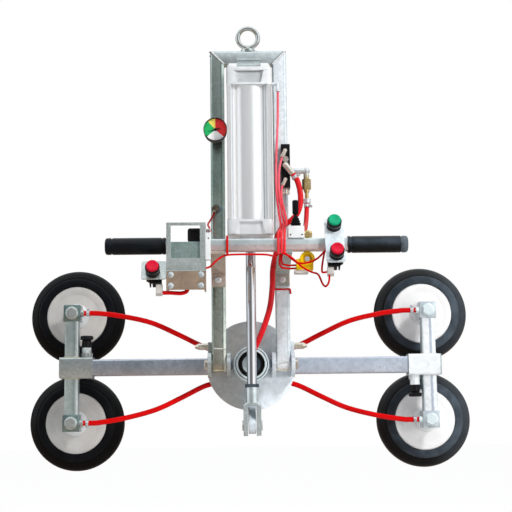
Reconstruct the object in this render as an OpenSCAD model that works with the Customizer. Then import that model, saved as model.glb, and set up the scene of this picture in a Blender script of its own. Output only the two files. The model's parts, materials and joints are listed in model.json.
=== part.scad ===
/* [Mast] */
// Outer side of the square tube that the mast is welded from
tube_side = 30; // [26:1:34]
// Wall of the mast tube
tube_wall = 3; // [2:0.5:4]
// Clear gap between the two legs of the mast
leg_gap = 105; // [103:1:120]
// Height of the top of the mast above the tilt axis
mast_top = 680; // [660:5:720]

/* [Lifting eye] */
// Clear diameter of the eye's ring
eye_bore = 34; // [28:1:40]
// Thickness of the round bar that the ring is forged from
eye_section = 10; // [9:0.5:14]
// Height of the collar under the ring
eye_collar_h = 6; // [4:1:12]

/* [Cylinder] */
// Bore of the tilt cylinder
bore_d = 80; // [70:1:82]
// Side of the cylinder's square end caps
cap_side = 95; // [92:1:98]
// Height of each end cap
cap_h = 30; // [28:1:34]
// Length of the barrel between the caps
barrel_len = 286; // [260:1:300]
// Distance of the cylinder's axis in front of the tilt axis
cyl_front = 60; // [56:1:66]
// Depth of the rear clevis pin under the top of the mast
clevis_drop = 53; // [50:1:58]
// Diameter of the rear clevis pin
clevis_pin_d = 10; // [8:1:10]
// Diameter of the piston rod
rod_d = 20; // [16:1:22]

/* [Rod fork] */
// Depth of the fork's pin below the tilt axis
fork_drop = 127; // [124:1:135]
// Side of the square fork
fork_side = 36; // [34:1:40]
// Width of the fork's slot
fork_slot = 18; // [17:0.5:20]
// Diameter of the fork's pin
fork_pin_d = 16; // [14:0.5:16]

/* [Tilt frame] */
// Diameter of the round tilt plate
tilt_plate_d = 190; // [186:1:200]
// Thickness of the tilt plate
tilt_plate_t = 8; // [6:1:10]
// Distance of the plate's front face behind the tilt axis
tilt_plate_back = 40; // [36:1:44]
// Thickness of each pivot ear
ear_t = 8; // [6:0.5:9]
// Radius of the pivot ears about the tilt axis
ear_r = 26; // [22:1:27]
// Diameter of the pivot bolts
pivot_d = 12; // [10:1:14]
// Thickness of the lever that the fork pushes
tilt_lever_t = 15; // [12:0.5:16]
// Outer diameter of the bearing housing
hub_d = 74; // [70:1:78]
// Outer diameter of the bearing
bearing_d = 56; // [50:1:60]
// Diameter of the hollow rotor shaft
shaft_d = 34; // [28:1:40]

/* [Arms] */
// Outer side of the square arm tube
arm_side = 35; // [32:1:36]
// Wall of the arm tube
arm_wall = 3; // [2:0.5:4]
// Half of the arm's length
arm_half = 412; // [380:2:430]
// Length of the sliding sleeve
sleeve_len = 71; // [68:1:78]
// Wall of the sliding sleeve
sleeve_wall = 4; // [3:0.5:5]
// Side of the square posts that carry the pads
post_side = 30; // [26:1:32]
// Height of the pads' centres above and below the arm
pad_rise = 118; // [116:1:130]
// Distance between two holes for the sleeve's locking pin
lock_pitch = 40; // [30:1:40]
// Number of holes for the locking pin on each arm
lock_count = 4; // [3:1:4]

/* [Suction pads] */
// Outer diameter of the rubber pad
pad_d = 210; // [200:1:212]
// Depth of the rubber pad
pad_depth = 42; // [38:1:46]
// Diameter of the white pad plate
plate_d = 134; // [126:1:138]

/* [Handlebar] */
// Side of the square handlebar tube
bar_side = 25; // [22:1:28]
// Wall of the handlebar tube
bar_wall = 2.5; // [2:0.5:3]
// Distance of the handlebar in front of the tilt axis
bar_front = 140; // [138:1:150]
// Height of the handlebar above the tilt axis
bar_rise = 232; // [225:1:236]
// Length of each grip
grip_len = 122; // [110:1:130]
// Outer diameter of the grips
grip_d = 34; // [30:1:38]

/* [Controls] */
// Diameter of the button caps
button_d = 25; // [22:1:27]
// Diameter of the buttons' black collars
collar_d = 29; // [28:1:32]
// Travel of the buttons
button_travel = 4; // [2:0.5:5]
// Diameter of the vacuum gauge
gauge_d = 50; // [40:1:56]
// Height of the vacuum gauge above the tilt axis
gauge_rise = 490; // [420:5:560]

/* [Hoses] */
// Outer diameter of the vacuum hoses
hose_d = 12; // [9:0.5:12]
// Outer diameter of the pad hoses
pad_hose_d = 11; // [9:0.5:12]
// Outer diameter of the thin air tubes
air_d = 5; // [4:0.5:6]
// Outer diameter of the hose under the control housing
release_hose_d = 8; // [6:0.5:8]

/* [Hidden] */
$fn = 64;

// Fits and clearances
running = 0.05;
touch = 0.3;
slack = 1;

// Colours
zinc = "#aab4b6";
alloy = "#d6d8da";
chrome_grey = "#8d9094";
rubber_black = "#17181a";
hose_red = "#d2141c";
brass_yellow = "#c9a253";

// Mast
tube_r = 5;
leg_x = (leg_gap + tube_side) / 2;
mast_half = leg_gap / 2 + tube_side;
head_low = mast_top - tube_side;
leg_front = tube_side / 2;
leg_end_r = tube_side / 2 - 0.2;

// Lifting eye, whose ring centre is the origin
eye_r = (eye_bore + eye_section) / 2;
eye_rise = mast_top + eye_collar_h + eye_bore / 2 + eye_section;
eye_stud_d = 12;
eye_collar_d = 30;

// Cylinder, from its rear clevis pin down
clevis_z = mast_top - clevis_drop;
clevis_ear_r = clevis_pin_d / 2 + 5;
clevis_base_t = 8;
clevis_gap = 50;
clevis_ear_t = 17;
tongue_w = clevis_gap - 1;
clevis_top = clevis_z - clevis_ear_r - 1.5;
rear_cap_top = clevis_top - clevis_base_t;
barrel_top = rear_cap_top - cap_h;
barrel_low = barrel_top - barrel_len;
front_cap_low = barrel_low - cap_h;
gland_h = 10;
gland_d = 44;
recess_depth = 7;
cap_r = 9;
cap_screw_at = cap_side / 2 - 11;
piston_h = 26;
piston_low = barrel_low + 3;
port_d = 12;
port_z = barrel_top + 13;

// Rod fork
fork_z = -fork_drop;
fork_base_z = fork_z + 39;
fork_top_z = fork_base_z + 7;
fork_low_z = fork_z - 21;
neck_d = 26;
neck_h = 31;
rod_nut_h = 7;
rod_low_z = fork_top_z + 4;
fork_ring_t = 3;
fork_ring_d = 21;
fork_eye_r = 17;

// Tilt frame
plate_front = tilt_plate_back;
plate_rear = tilt_plate_back + tilt_plate_t;
inner_ear_x = leg_gap / 2 - slack - ear_t;
outer_ear_x = mast_half + slack;
hub_front = -20;
bearing_front = hub_front + 8;
bearing_len = 40;
nipple_d = 16;
lever_root_top = -44;
lever_root_low = -88;
bolt_head_h = 7.5;
bolt_head_d = 21;
lock_rise = 40;
lock_d = 14;
lock_len = 21;

// Rotor and arm
rotor_gap = 0.5;
rotor_d = 120;
rotor_t = 8;
rotor_front = plate_rear + rotor_gap;
arm_front = rotor_front + rotor_t;
arm_y = arm_front + arm_side / 2;
arm_r = 4;
manifold_z = 40;
manifold_side = 22;
manifold_half = 72;
manifold_y = arm_front + manifold_side / 2;
plug_t = 3;

// Sliding sleeves, posts and pads
sleeve_gap = 1;
sleeve_side = arm_side + 2 * (sleeve_gap + sleeve_wall);
sleeve_out = arm_half - 1;
sleeve_x = sleeve_out - sleeve_len / 2;
post_wall = 3;
post_x = arm_half - 26;
block_side = 36;
block_front = arm_y - post_side / 2 - 1;
block_depth = 42;
block_rear = block_front + block_depth;
post_top = pad_rise - block_side / 2;
pad_bolt_d = 12;
pad_bolt_head = 25.4;
pad_bolt_h = 8;
pad_hose_y = block_front + 10;
clamp_t = 7;
clamp_d = pad_hose_d + 4;
plate_t = 4;
pad_stud_len = 22;
boss_d = 54;
boss_h = 14;
plate_front_y = block_rear + pad_stud_len + boss_h;
pad_front = plate_front_y + 1;
pad_rear = pad_front + pad_depth;
stud_d = 26;
lock_x = sleeve_out - sleeve_len + 15;
lock_pin_d = 8;
lock_hex = 26;
lock_hex_h = 21;
lock_neck_h = 14;
lock_knob_h = 25;

// Handlebar and controls
bar_left = -91;
bar_right = 194;
core_d = 22;
housing_front = 170;
housing_t = 3;
housing_depth = 45;
housing_top = 275;
housing_fold = 178;
housing_low = 140;
housing_left = -169;
window = [[-160, 203], [-102, 269]];
shelf_top = 237;
bracket_t = 6;
bracket_low = 163;
bracket_top = 190;
panel_lean = 26;
panel_len = 104;
panel_w = 38;
panel_t = 3;
panel_x = 166;
panel_top = [-150, 283];
panel_green = 18;
panel_red = 87;
collar_h = 20;
cap_proud = 5;
left_panel_x = -194;
left_panel_top = [-150, 200];
left_panel_len = 42;
left_panel_w = 50;
left_button = 25.4;
valve_back = 9;
valve_body_d = 17;
valve_deep = 20;
port_block = 16;
switch_x = -113;
switch_side = 28;
switch_depth = 28;
valve_x = 90.5;
valve_w = 33;
valve_h = 24;
valve_d = 34;
valve_z = bar_rise + bar_side / 2;
boot_h = 22;
lever_h = 55;
horn_x = 113;
horn_z = 204;
horn_d = 30;
horn_len = 28;

// Gauge
gauge_x = -leg_x - 4;
gauge_depth = 28;
gauge_stem = 32;
gauge_back = leg_front + gauge_stem;
gauge_face = gauge_back + gauge_depth;
bezel_w = 2.2;
lens_t = 1.5;
dial_t = 1;
needle_gap = 1.2;

// Ejector and air inlet
ejector_w = 19;
ejector_len = 94;
ejector_low = 370;
ejector_depth = 30;
ejector_front = leg_front + ejector_depth;
ejector_x = leg_x + 9;
banjo_z = 330;
inlet_x = 121;
inlet_z = 400;

// Routes of the hoses and tubes, through their own points
main_route = [[54, -44, 237.8], [54, -44, 230], [49, -46, 210], [46, -46, 190], [45, -47, 160],
    [40, -48, 120], [31, -49, 88], [21, -48, 62], [11, -43.5, 40], [3, -38.5, 27],
    [0, -34.6, 20.1], [0, -28.4, 11.6]];
ejector_route = [[91.1, -52.1, 396.6], [99.5, -52.3, 384.5], [105, -56, 362], [106, -60, 336],
    [99, -61, 312], [86, -59, 297], [70, -54, 286], [59, -47, 270], [54, -44, 254],
    [54, -44, 238.2]];
inlet_route = [[121, -30, 338], [120, -33, 318], [117, -50, 292], [112, -80, 272],
    [102, -102, 260], [98, -110, 257], [98, -116, 257], [98, -122.7, 257]];
pad_end_x = post_x - block_side / 2 - touch;
pad_hose_end = [[pad_end_x - 43, 67, pad_rise - 1], [pad_end_x - 26, pad_hose_y, pad_rise],
    [pad_end_x - 14, pad_hose_y, pad_rise], [pad_end_x, pad_hose_y, pad_rise]];
upper_pad_route = concat([[72.3, 70, 36], [88, 70, 38], [115, 69, 49], [155, 67, 69], [215, 66, 96],
    [280, 66, 111]], pad_hose_end);
lower_pad_route = concat([[72.3, 70, 36], [88, 70, 38], [110, 69, 46], [150, 68, 66], [205, 67, 91],
    [270, 66, 108]], pad_hose_end);
cylinder_tube = [[61.5, -60, port_z - 17.3], [61.5, -60, port_z - 32], [60, -62, 500], [57, -64, 450],
    [55, -66, 400], [56, -68, 350], [60, -72, 310], [63, -80, 285], [60, -110, 268],
    [56, -148, 259], [54, -160, 248], [54, -160, 232], [54, -158, 212]];
pilot_tube = [[69, -50, 434.1], [66.3, -51.5, 425], [63, -58, 410], [61, -66, 390],
    [61, -70, 350], [66, -76, 310], [69, -84, 288], [66, -112, 270], [62, -148, 260],
    [60.5, -160, 248], [60.5, -160, 232], [60.5, -157, 214]];
low_tube = [[69.4, -49.4, 373], [67, -51, 365], [66, -58, 352], [67, -72, 332], [72, -80, 308],
    [74, -92, 288], [71, -114, 272], [68, -148, 261], [66.7, -160, 248], [66.7, -160, 232],
    [66.7, -156, 214]];
bar_tube = [[54, -158, 212], [48, -150, 208], [30, -146, 212], [0, -145, 213], [-30, -145, 213],
    [-52, -147, 211], [-66, -152, 203], [-76, -153, 194], [-83, -148, 188], [-90.7, -146, 186]];
loop_tube = [[60.5, -157, 214], [77.3, -156, 206.5], [89.3, -155, 196.6], [101.2, -154, 185.5],
    [119, -155, 175.2], [131.5, -159, 170.3], [136.5, -164, 160.5], [140, -173, 149],
    [145.5, -182, 142.5], [150.8, -188, 149], [152.5, -189.3, 158.8], [152.5, -186.8, 163.9]];
cross_tube = [[66.7, -156, 214], [74, -151, 208.5], [82, -148, 202], [91, -147, 196], [102, -147, 193.5],
    [118, -148, 196], [132, -151, 202.4], [141, -154, 210.5], [146.5, -157.5, 216], [152, -159, 217],
    [157, -159.9, 214.7], [157, -162.5, 209.3]];
link_tube = [[157, -169.7, 212.9], [157, -167.3, 217.4], [152, -165, 218.7], [147.3, -163.5, 216.5],
    [145, -164, 210], [141.7, -167, 194], [139.5, -171, 179], [139.8, -177, 171.5],
    [143.5, -181.5, 170.5], [148.7, -183.3, 171]];
green_tube = [[160, -129.7, 253.1], [160, -121.6, 249.2], [150, -112, 244], [128, -108, 236],
    [100, -108, 238], [84, -111, 250], [80, -115, 255], [80, -122.7, 256]];
gauge_tube = [[-76, -24.6, 320.3], [-79.1, -28.7, 311.7], [-84, -44, 300], [-88, -72, 287],
    [-84, -105, 274], [-82, -126, 265], [-84, -134, 262], [-90.7, -135, 262]];
release_hose = [[-176.2, -160.4, 135.2], [-170, -160.4, 135.2], [-160, -158.5, 135.3],
    [-150, -155.5, 134.8], [-140, -152, 135], [-131.5, -149.5, 137.5], [-128, -148.5, 141.5],
    [-128, -148.5, 145.7]];

// The model is worked out from the tilt axis, and this puts the eye's centre at the origin
module from_tilt_axis() {
    translate([0, 0, -eye_rise]) children();
}

// Points of an arc in degrees, both ends included
function arc(centre, r, from, to, steps) =
    [for (i = [0:steps]) centre + r * [cos(from + (to - from) * i / steps),
                                       sin(from + (to - from) * i / steps)]];

// A rectangle with rounded corners, centred, as points
function rounded_box(w, h, r, steps = 4) = concat(
    arc([w / 2 - r, h / 2 - r], r, 0, 90, steps), arc([r - w / 2, h / 2 - r], r, 90, 180, steps),
    arc([r - w / 2, r - h / 2], r, 180, 270, steps), arc([w / 2 - r, r - h / 2], r, 270, 360, steps));

// Where a line from a point touches a circle, on the side that turns with the sign
function tangent_angle(from, centre, r, side) =
    let (d = from - centre)
    atan2(d[1], d[0]) + side * acos(r / norm(d));

// A square tube along Z with rounded corners
module square_tube(side, wall, r, len) {
    linear_extrude(height = len) difference() {
        polygon(rounded_box(side, side, r));
        polygon(rounded_box(side - 2 * wall, side - 2 * wall, max(r - wall, 0.5)));
    }
}

// A round bar along Y from one depth to another
module rod_y(x, z, d, y0, y1, sides = 64) {
    translate([x, y0, z]) rotate([-90, 0, 0]) cylinder(d = d, h = y1 - y0, $fn = sides);
}

// A round bar along X
module rod_x(y, z, d, x0, x1, sides = 64) {
    translate([x0, y, z]) rotate([0, 90, 0]) cylinder(d = d, h = x1 - x0, $fn = sides);
}

// A plate whose outline lies in the YZ plane, between two places on X
module side_plate(outline, x0, x1) {
    translate([x0, 0, 0]) rotate([90, 0, 90]) linear_extrude(height = x1 - x0) polygon(outline);
}

// A smooth curve through a route's points
function spline_at(p, i, t) =
    let (a = p[max(i - 1, 0)], b = p[i], c = p[i + 1], d = p[min(i + 2, len(p) - 1)])
    0.5 * ((2 * b) + (c - a) * t + (2 * a - 5 * b + 4 * c - d) * t * t
           + (3 * b - a - 3 * c + d) * t * t * t);
function smooth_route(p, steps) =
    concat([for (i = [0:len(p) - 2]) for (s = [0:steps - 1]) spline_at(p, i, s / steps)],
           [p[len(p) - 1]]);
function unit(v) = v / norm(v);
function heading(p, i) = unit(p[min(i + 1, len(p) - 1)] - p[max(i - 1, 0)]);

// A hose swept along a route, with flat ends
module hose(route, d, sides, steps, across) {
    path = smooth_route(route, steps);
    n = len(path);
    points = [for (i = [0:n - 1])
        let (t = heading(path, i), u = unit(cross(across, t)), v = cross(t, u))
        for (k = [0:sides - 1])
            path[i] + d / 2 * (cos(360 * k / sides) * u + sin(360 * k / sides) * v)];
    walls = [for (i = [0:n - 2]) for (k = [0:sides - 1])
        let (a = i * sides + k, b = i * sides + (k + 1) % sides)
        each [[a, a + sides, b], [b, a + sides, b + sides]]];
    ends = [for (k = [1:sides - 2]) each [[0, k, k + 1],
        [(n - 1) * sides, (n - 1) * sides + k + 1, (n - 1) * sides + k]]];
    polyhedron(points = points, faces = concat(walls, ends), convexity = 10);
}

// One leg of the mast, on the right for side 1 and on the left for side -1
module leg(side) {
    difference() {
        union() {
            translate([side * leg_x, 0, 0]) square_tube(tube_side, tube_wall, tube_r, mast_top);
            rod_x(0, 0, 2 * leg_end_r, side * leg_x - tube_side / 2, side * leg_x + tube_side / 2);
        }
        translate([side * mast_half, 0, mast_top]) rotate([0, -side * 45, 0])
            translate([-mast_half, -tube_side, 0]) cube([2 * mast_half, 2 * tube_side, 2 * tube_side]);
        rod_x(0, 0, pivot_d + 2 * running, side * leg_x - tube_side, side * leg_x + tube_side);
        rod_y(side * leg_x, (bracket_low + bracket_top) / 2, 8.5, -tube_side, 0);
    }
}

module leg_left() color(zinc) from_tilt_axis() leg(-1);

module leg_right() color(zinc) from_tilt_axis() leg(1);

// The mast's cross tube, mitred into the legs, with the tongue that the cylinder hangs on
module mast_head() color(zinc) from_tilt_axis() {
    difference() {
        union() {
            intersection() {
                translate([-mast_half, 0, mast_top - tube_side / 2]) rotate([0, 90, 0])
                    square_tube(tube_side, tube_wall, tube_r, 2 * mast_half);
                rotate([90, 0, 0]) linear_extrude(height = 2 * tube_side, center = true)
                    polygon([[-mast_half, mast_top], [mast_half, mast_top],
                             [mast_half - tube_side, head_low], [tube_side - mast_half, head_low]]);
            }
            side_plate(concat([[leg_front - 2, head_low], [leg_front - 2, head_low - 8]],
                              [[-cyl_front + clevis_ear_r + 4, head_low - 8]],
                              arc([-cyl_front, clevis_z], clevis_ear_r, -60, -270, 14),
                              [[-cyl_front + 2, head_low]]),
                       -tongue_w / 2, tongue_w / 2);
        }
        rod_x(-cyl_front, clevis_z, clevis_pin_d + 2 * running, -tongue_w, tongue_w);
        translate([0, 0, mast_top - tube_side / 2]) cylinder(d = eye_stud_d, h = tube_side);
    }
}

// The forged ring with its collar and threaded stud
module lifting_eye() color(zinc) {
    rotate([90, 0, 0]) rotate_extrude() translate([eye_r, 0]) circle(d = eye_section, $fn = 48);
    translate([0, 0, mast_top - eye_rise])
        cylinder(d1 = eye_collar_d, d2 = eye_section + 6, h = eye_collar_h + 3);
    translate([0, 0, mast_top - eye_rise - tube_side / 2 + 1])
        cylinder(d = eye_stud_d, h = tube_side / 2);
}

// Screws of the handle brackets, the eye's nut and the four screws of the control housing
module frame_bolts() color(chrome_grey) from_tilt_axis() {
    for (side = [-1, 1]) {
        rod_y(side * leg_x, (bracket_low + bracket_top) / 2, 14, -leg_front - bracket_t - 5,
              -leg_front - bracket_t);
        rod_y(side * leg_x, (bracket_low + bracket_top) / 2, 8, -leg_front - bracket_t,
              -leg_front + tube_wall + 6);
    }
    difference() {
        translate([0, 0, mast_top - tube_wall - 8]) cylinder(d = 21, h = 8, $fn = 6);
        translate([0, 0, mast_top - tube_wall - 9]) cylinder(d = eye_stud_d, h = 10);
    }
    for (x = [housing_left + 9, bar_left - 9])
        for (z = [housing_low + 8, housing_fold - 8])
            rod_y(x, z, 9, -housing_front - 3, -housing_front);
}

// Two bent plates that carry the handlebar in front of the legs
module handle_brackets() color(zinc) from_tilt_axis() {
    under = bar_rise - bar_side / 2;
    back = bar_front - bar_side / 2;
    for (side = [-1, 1])
        difference() {
            side_plate([[-leg_front, bracket_low], [-leg_front, bracket_top + 4],
                        [-back, under], [-back - bar_side, under],
                        [-back - bar_side, under - bracket_t], [-back, under - bracket_t],
                        [-leg_front - bracket_t, bracket_top], [-leg_front - bracket_t, bracket_low]],
                       side * leg_x - tube_side / 2, side * leg_x + tube_side / 2);
            rod_y(side * leg_x, (bracket_low + bracket_top) / 2, 8, -leg_front - bracket_t - 1,
                  -leg_front + 1);
        }
}

// The square bar with the round cores that the grips are pushed on
module handlebar() color(zinc) from_tilt_axis() {
    translate([bar_left, -bar_front, bar_rise]) rotate([0, 90, 0])
        square_tube(bar_side, bar_wall, 4, bar_right - bar_left - 3);
    translate([bar_right - 3, -bar_front - bar_side / 2, bar_rise - bar_side / 2])
        cube([3, bar_side, bar_side]);
    rod_x(-bar_front, bar_rise, core_d, bar_right, bar_right + grip_len - 6);
    rod_x(-bar_front, bar_rise, core_d, housing_left - grip_len + 8, housing_left);
}

// A rubber grip with end flanges, along X from its inner end
module grip() {
    r = grip_d / 2;
    rotate([0, 90, 0]) rotate_extrude()
        polygon([[core_d / 2 + running, 0], [r - 1, 0], [r, 1], [r, 5], [r - 1, 6], [r - 1, 9],
                 [r, 10], [r, grip_len - 16], [r - 1, grip_len - 15], [r - 1, grip_len - 12],
                 [r, grip_len - 11], [r, grip_len - 4], [r - 4, grip_len], [0, grip_len],
                 [0, grip_len - 5], [core_d / 2 + running, grip_len - 5]]);
}

module grips() color(rubber_black) from_tilt_axis() {
    translate([housing_left - 2, -bar_front, bar_rise]) rotate([0, 0, 180]) grip();
    translate([bar_right, -bar_front, bar_rise]) grip();
}

// The gauge's cup with its bezel and the stem that screws into the leg
module gauge_case() color("#2a2c2e") from_tilt_axis() {
    difference() {
        union() {
            rod_y(gauge_x, gauge_rise, gauge_d, -gauge_face, -gauge_back);
            rod_y(gauge_x, gauge_rise, 14, -gauge_back, -leg_front);
        }
        rod_y(gauge_x, gauge_rise, gauge_d - 2 * bezel_w, -gauge_face - 1, -gauge_face + 8);
    }
}

module gauge_dial() color("white") from_tilt_axis()
    rod_y(gauge_x, gauge_rise, gauge_d - 2 * bezel_w, -gauge_face + 8 - dial_t, -gauge_face + 8);

module gauge_lens() color([0.8, 0.9, 0.95, 0.35]) from_tilt_axis()
    rod_y(gauge_x, gauge_rise, gauge_d - 2 * bezel_w, -gauge_face, -gauge_face + lens_t);

// The needle on its boss, pointing down to the left as at full vacuum
module gauge_needle() color("black") from_tilt_axis() {
    needle_y = -gauge_face + 8 - dial_t - needle_gap;
    rod_y(gauge_x, gauge_rise, 6, needle_y - 1, needle_y + needle_gap - touch);
    translate([gauge_x, needle_y, gauge_rise]) rotate([90, -15, 0]) linear_extrude(height = 0.8)
        polygon([[-gauge_d * 0.36, 0], [0, -1.6], [gauge_d * 0.2, -1.2], [gauge_d * 0.2, 1.2], [0, 1.6]]);
}

// Black block that turns compressed air into vacuum, on the front of the right leg
module ejector_block() color(rubber_black) from_tilt_axis() {
    difference() {
        translate([ejector_x - ejector_w / 2, -ejector_front, ejector_low])
            cube([ejector_w, ejector_depth, ejector_len]);
        translate([ejector_x - ejector_w, -ejector_front - 1, ejector_low + 54])
            cube([2 * ejector_w, 2, 2]);
        translate([ejector_x - ejector_w, -ejector_front - 1, ejector_low + 24])
            cube([2 * ejector_w, 2, 2]);
    }
}

// A swivelling push-in elbow on the front of the ejector, turned about the bar's axis
module front_elbow(x, z, d, len, turn, front) {
    rod_y(x, z, d, -front - d * 0.9, -front);
    translate([x, -front - d * 0.55, z]) rotate([0, turn, 0]) cylinder(d = d, h = len);
    translate([x, -front - d * 0.55, z]) sphere(d = d);
}

// Nickel fittings: elbows, hexagon plug, hose barb, silencer and the banjo on the left leg
module ejector_fittings() color("#b9b6ac") from_tilt_axis() {
    front_elbow(ejector_x - 1, ejector_low + 78, 9, 15, 205, ejector_front);
    front_elbow(ejector_x - 1, ejector_low + 16, 8, 14, 205, ejector_front);
    front_elbow(ejector_x, ejector_low + 46, 13, 24, 143, ejector_front);
    rod_y(ejector_x, ejector_low + 60, 14, -ejector_front - 5, -ejector_front, 6);
    translate([ejector_x, -leg_front - ejector_depth / 2, ejector_low - 12])
        cylinder(d = 16, h = 12);
    rod_y(-leg_x - 5, banjo_z, 16, -leg_front - 9, -leg_front);
    rod_y(-leg_x - 5, banjo_z, 10, -leg_front - 12, -leg_front - 9, 6);
    translate([-leg_x - 5, -leg_front - 5, banjo_z]) rotate([24, 200, 0]) cylinder(d = 8, h = 11);
}

// Compressed air inlet: cross pipe, shut-off valve body, nipple and hose clamp
module inlet_valve() color(brass_yellow) from_tilt_axis() {
    rod_x(-leg_front - 15, inlet_z + 8, 12, ejector_x + ejector_w / 2, inlet_x);
    translate([inlet_x, -leg_front - 15, inlet_z + 8]) sphere(d = 15);
    translate([inlet_x, -leg_front - 15, inlet_z - 38]) cylinder(d = 12, h = 46);
    translate([inlet_x, -leg_front - 15, inlet_z - 32]) cylinder(d = 19, h = 22, $fn = 6);
    translate([inlet_x, -leg_front - 15, inlet_z - 56]) cylinder(d = 8, h = 20);
    translate([inlet_x, -leg_front - 15, inlet_z - 61.7]) cylinder(d = 16, h = 9);
    rod_x(-bar_front, valve_z + 9, 13, valve_x + valve_w / 2, valve_x + valve_w / 2 + 16);
    rod_x(-bar_front, valve_z + 9, 17, valve_x + valve_w / 2 + 3, valve_x + valve_w / 2 + 11, 6);
}

// Body of the hand valve that tilts the pads, on top of the handlebar
module lever_valve() color("#e4e6e6") from_tilt_axis() {
    difference() {
        translate([valve_x, -bar_front, valve_z]) linear_extrude(height = valve_h)
            polygon(rounded_box(valve_w, valve_d, 2));
        for (x = [-1, 1])
            rod_y(valve_x + x * (valve_w / 2 - 5), valve_z + 6, 3.4, -bar_front - valve_d,
                  -bar_front + valve_d);
    }
}

// Bellows round the lever's foot
module valve_boot() color(rubber_black) from_tilt_axis()
    translate([valve_x, -bar_front, valve_z + valve_h]) rotate_extrude()
        polygon([[0, 0], [10, 0], [10, 3], [8.6, 4.5], [9.6, 6.5], [9.4, 9], [7.6, 10.5],
                 [8.2, 12.5], [7.6, 15], [5.8, 16.5], [6, 18.5], [4, boot_h], [0, boot_h]]);

// The lever's rod and knob above the bellows
module valve_lever() color(rubber_black) from_tilt_axis()
    translate([valve_x, -bar_front, valve_z + valve_h]) rotate_extrude()
        polygon([[0, boot_h + touch], [2.8, boot_h + touch], [2.8, boot_h + 4], [6.6, boot_h + 5],
                 [7.2, boot_h + 7], [7.2, lever_h - 2], [5.6, lever_h], [0, lever_h]]);

// Sounder that warns when the vacuum falls: a round mouth over a square body, hung under the bar
module alarm_horn() color("#f2c411") from_tilt_axis() {
    difference() {
        union() {
            rod_y(horn_x, horn_z, horn_d, -bar_front, -bar_front + horn_len);
            translate([horn_x - 22, -bar_front + 2, horn_z - 22]) cube([34, horn_len - 2, 22]);
        }
        rod_y(horn_x, horn_z, horn_d - 11, -bar_front - 1, -bar_front + 6);
    }
    rod_y(horn_x, horn_z, 10, -bar_front + 1, -bar_front + 7);
    translate([horn_x - 26, -bar_front + 4, horn_z - 29]) cube([28, horn_len - 6, 7]);
    translate([horn_x - 6, -bar_front + 8, horn_z + horn_d / 2 - 3])
        cube([12, 4, bar_rise - bar_side / 2 - horn_z - horn_d / 2 + 3]);
}

// Places a piece on a leaning panel: across the panel, down its face and out of it
module on_panel(x, top, down) {
    translate([x, top[0], top[1]]) rotate([-panel_lean, 0, 0]) translate([0, 0, -down]) children();
}

// The two leaning plates that carry the buttons
module button_brackets() color(zinc) from_tilt_axis() {
    difference() {
        on_panel(panel_x, panel_top, panel_len / 2) rotate([90, 0, 0]) translate([0, 0, -panel_t])
            linear_extrude(height = panel_t) polygon(rounded_box(panel_w, panel_len, 6));
        on_panel(panel_x, panel_top, panel_green) rod_y(0, 0, 22.3, -5, 8);
        on_panel(panel_x + 2, panel_top, panel_red) rod_y(0, 0, 22.3, -5, 8);
    }
    side_plate([[-bar_front - bar_side / 2, bar_rise - 11], [-bar_front - bar_side / 2, bar_rise + 6],
                [-bar_front - 29.2, bar_rise + 6], [-bar_front - 37.5, bar_rise - 11]],
               panel_x - 12, panel_x + 12);
    difference() {
        on_panel(left_panel_x, left_panel_top, left_panel_len / 2) rotate([90, 0, 0])
            translate([0, 0, -panel_t]) linear_extrude(height = panel_t)
            polygon(rounded_box(left_panel_w, left_panel_len, 4));
        on_panel(left_panel_x - 2, left_panel_top, left_button) rod_y(0, 0, 22.3, -5, 8);
    }
}

// Black collar of one button: a ring that the cap slides in
module collar() {
    difference() {
        rod_y(0, 0, collar_d, -collar_h, 0);
        rod_y(0, 0, button_d + 2 * touch, -collar_h - 1, -6);
    }
}

module button_collars() color(rubber_black) from_tilt_axis() {
    on_panel(panel_x, panel_top, panel_green) collar();
    on_panel(panel_x + 2, panel_top, panel_red) collar();
    on_panel(left_panel_x - 2, left_panel_top, left_button) collar();
}

// Black valve body behind a button, with its two port blocks
module button_valve() {
    rod_y(0, 0, 22, 0, valve_back);
    translate([-13, valve_back, -11]) cube([26, valve_body_d, 26]);
    for (x = [-9, 0]) translate([x, valve_back + valve_body_d, -6]) cube([6, 5, 12]);
}

// The longer valve of a lower button: clips along its foot, a deep side, and a port block that hangs
// from the deep side for the hoses
module latched_valve(port_len) {
    rod_y(0, 0, 22, 0, valve_back);
    difference() {
        translate([-17, valve_back, -valve_deep]) cube([31, valve_body_d, valve_deep + 15]);
        for (cut = [[1, 3], [7, 4], [11, 9]])
            translate([cut[0], valve_back - 1, -valve_deep - 1])
                cube([cut[1], valve_body_d + 2, valve_deep - 11 + cut[0] / 2]);
    }
    translate([-19, valve_back + 5, -valve_deep - port_len]) cube([13, 10, port_len]);
    for (x = [-9, 0]) translate([x, valve_back + valve_body_d, -6]) cube([6, 5, 12]);
}

// Valves behind the three buttons, and inside the housing the release valve and a square switch
module button_valves() color(rubber_black) from_tilt_axis() {
    on_panel(panel_x, panel_top, panel_green) button_valve();
    on_panel(panel_x + 2, panel_top, panel_red) latched_valve(port_block);
    on_panel(left_panel_x - 2, left_panel_top, left_button) mirror([1, 0, 0])
        latched_valve(port_block + 6);
    translate([-150, -housing_front + housing_t + 4, housing_low + 6]) cube([52, 34, 50]);
    translate([-124, -housing_front + housing_t + 14, housing_low + 55])
        cube([22, 24, shelf_top - housing_low - 54]);
    translate([switch_x, -housing_front + housing_t + 10 + switch_depth, shelf_top + switch_side / 2])
        rotate([90, 0, 0]) difference() {
            linear_extrude(height = switch_depth) polygon(rounded_box(switch_side, switch_side, 5));
            translate([0, 0, switch_depth - 4]) linear_extrude(height = 5)
                polygon(rounded_box(switch_side - 12, switch_side - 11, 3));
        }
    translate([switch_x + switch_side / 2, -housing_front + housing_t + 16, shelf_top + 10])
        cube([-91 - housing_t - switch_x - switch_side / 2, 16, 10]);
}

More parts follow.
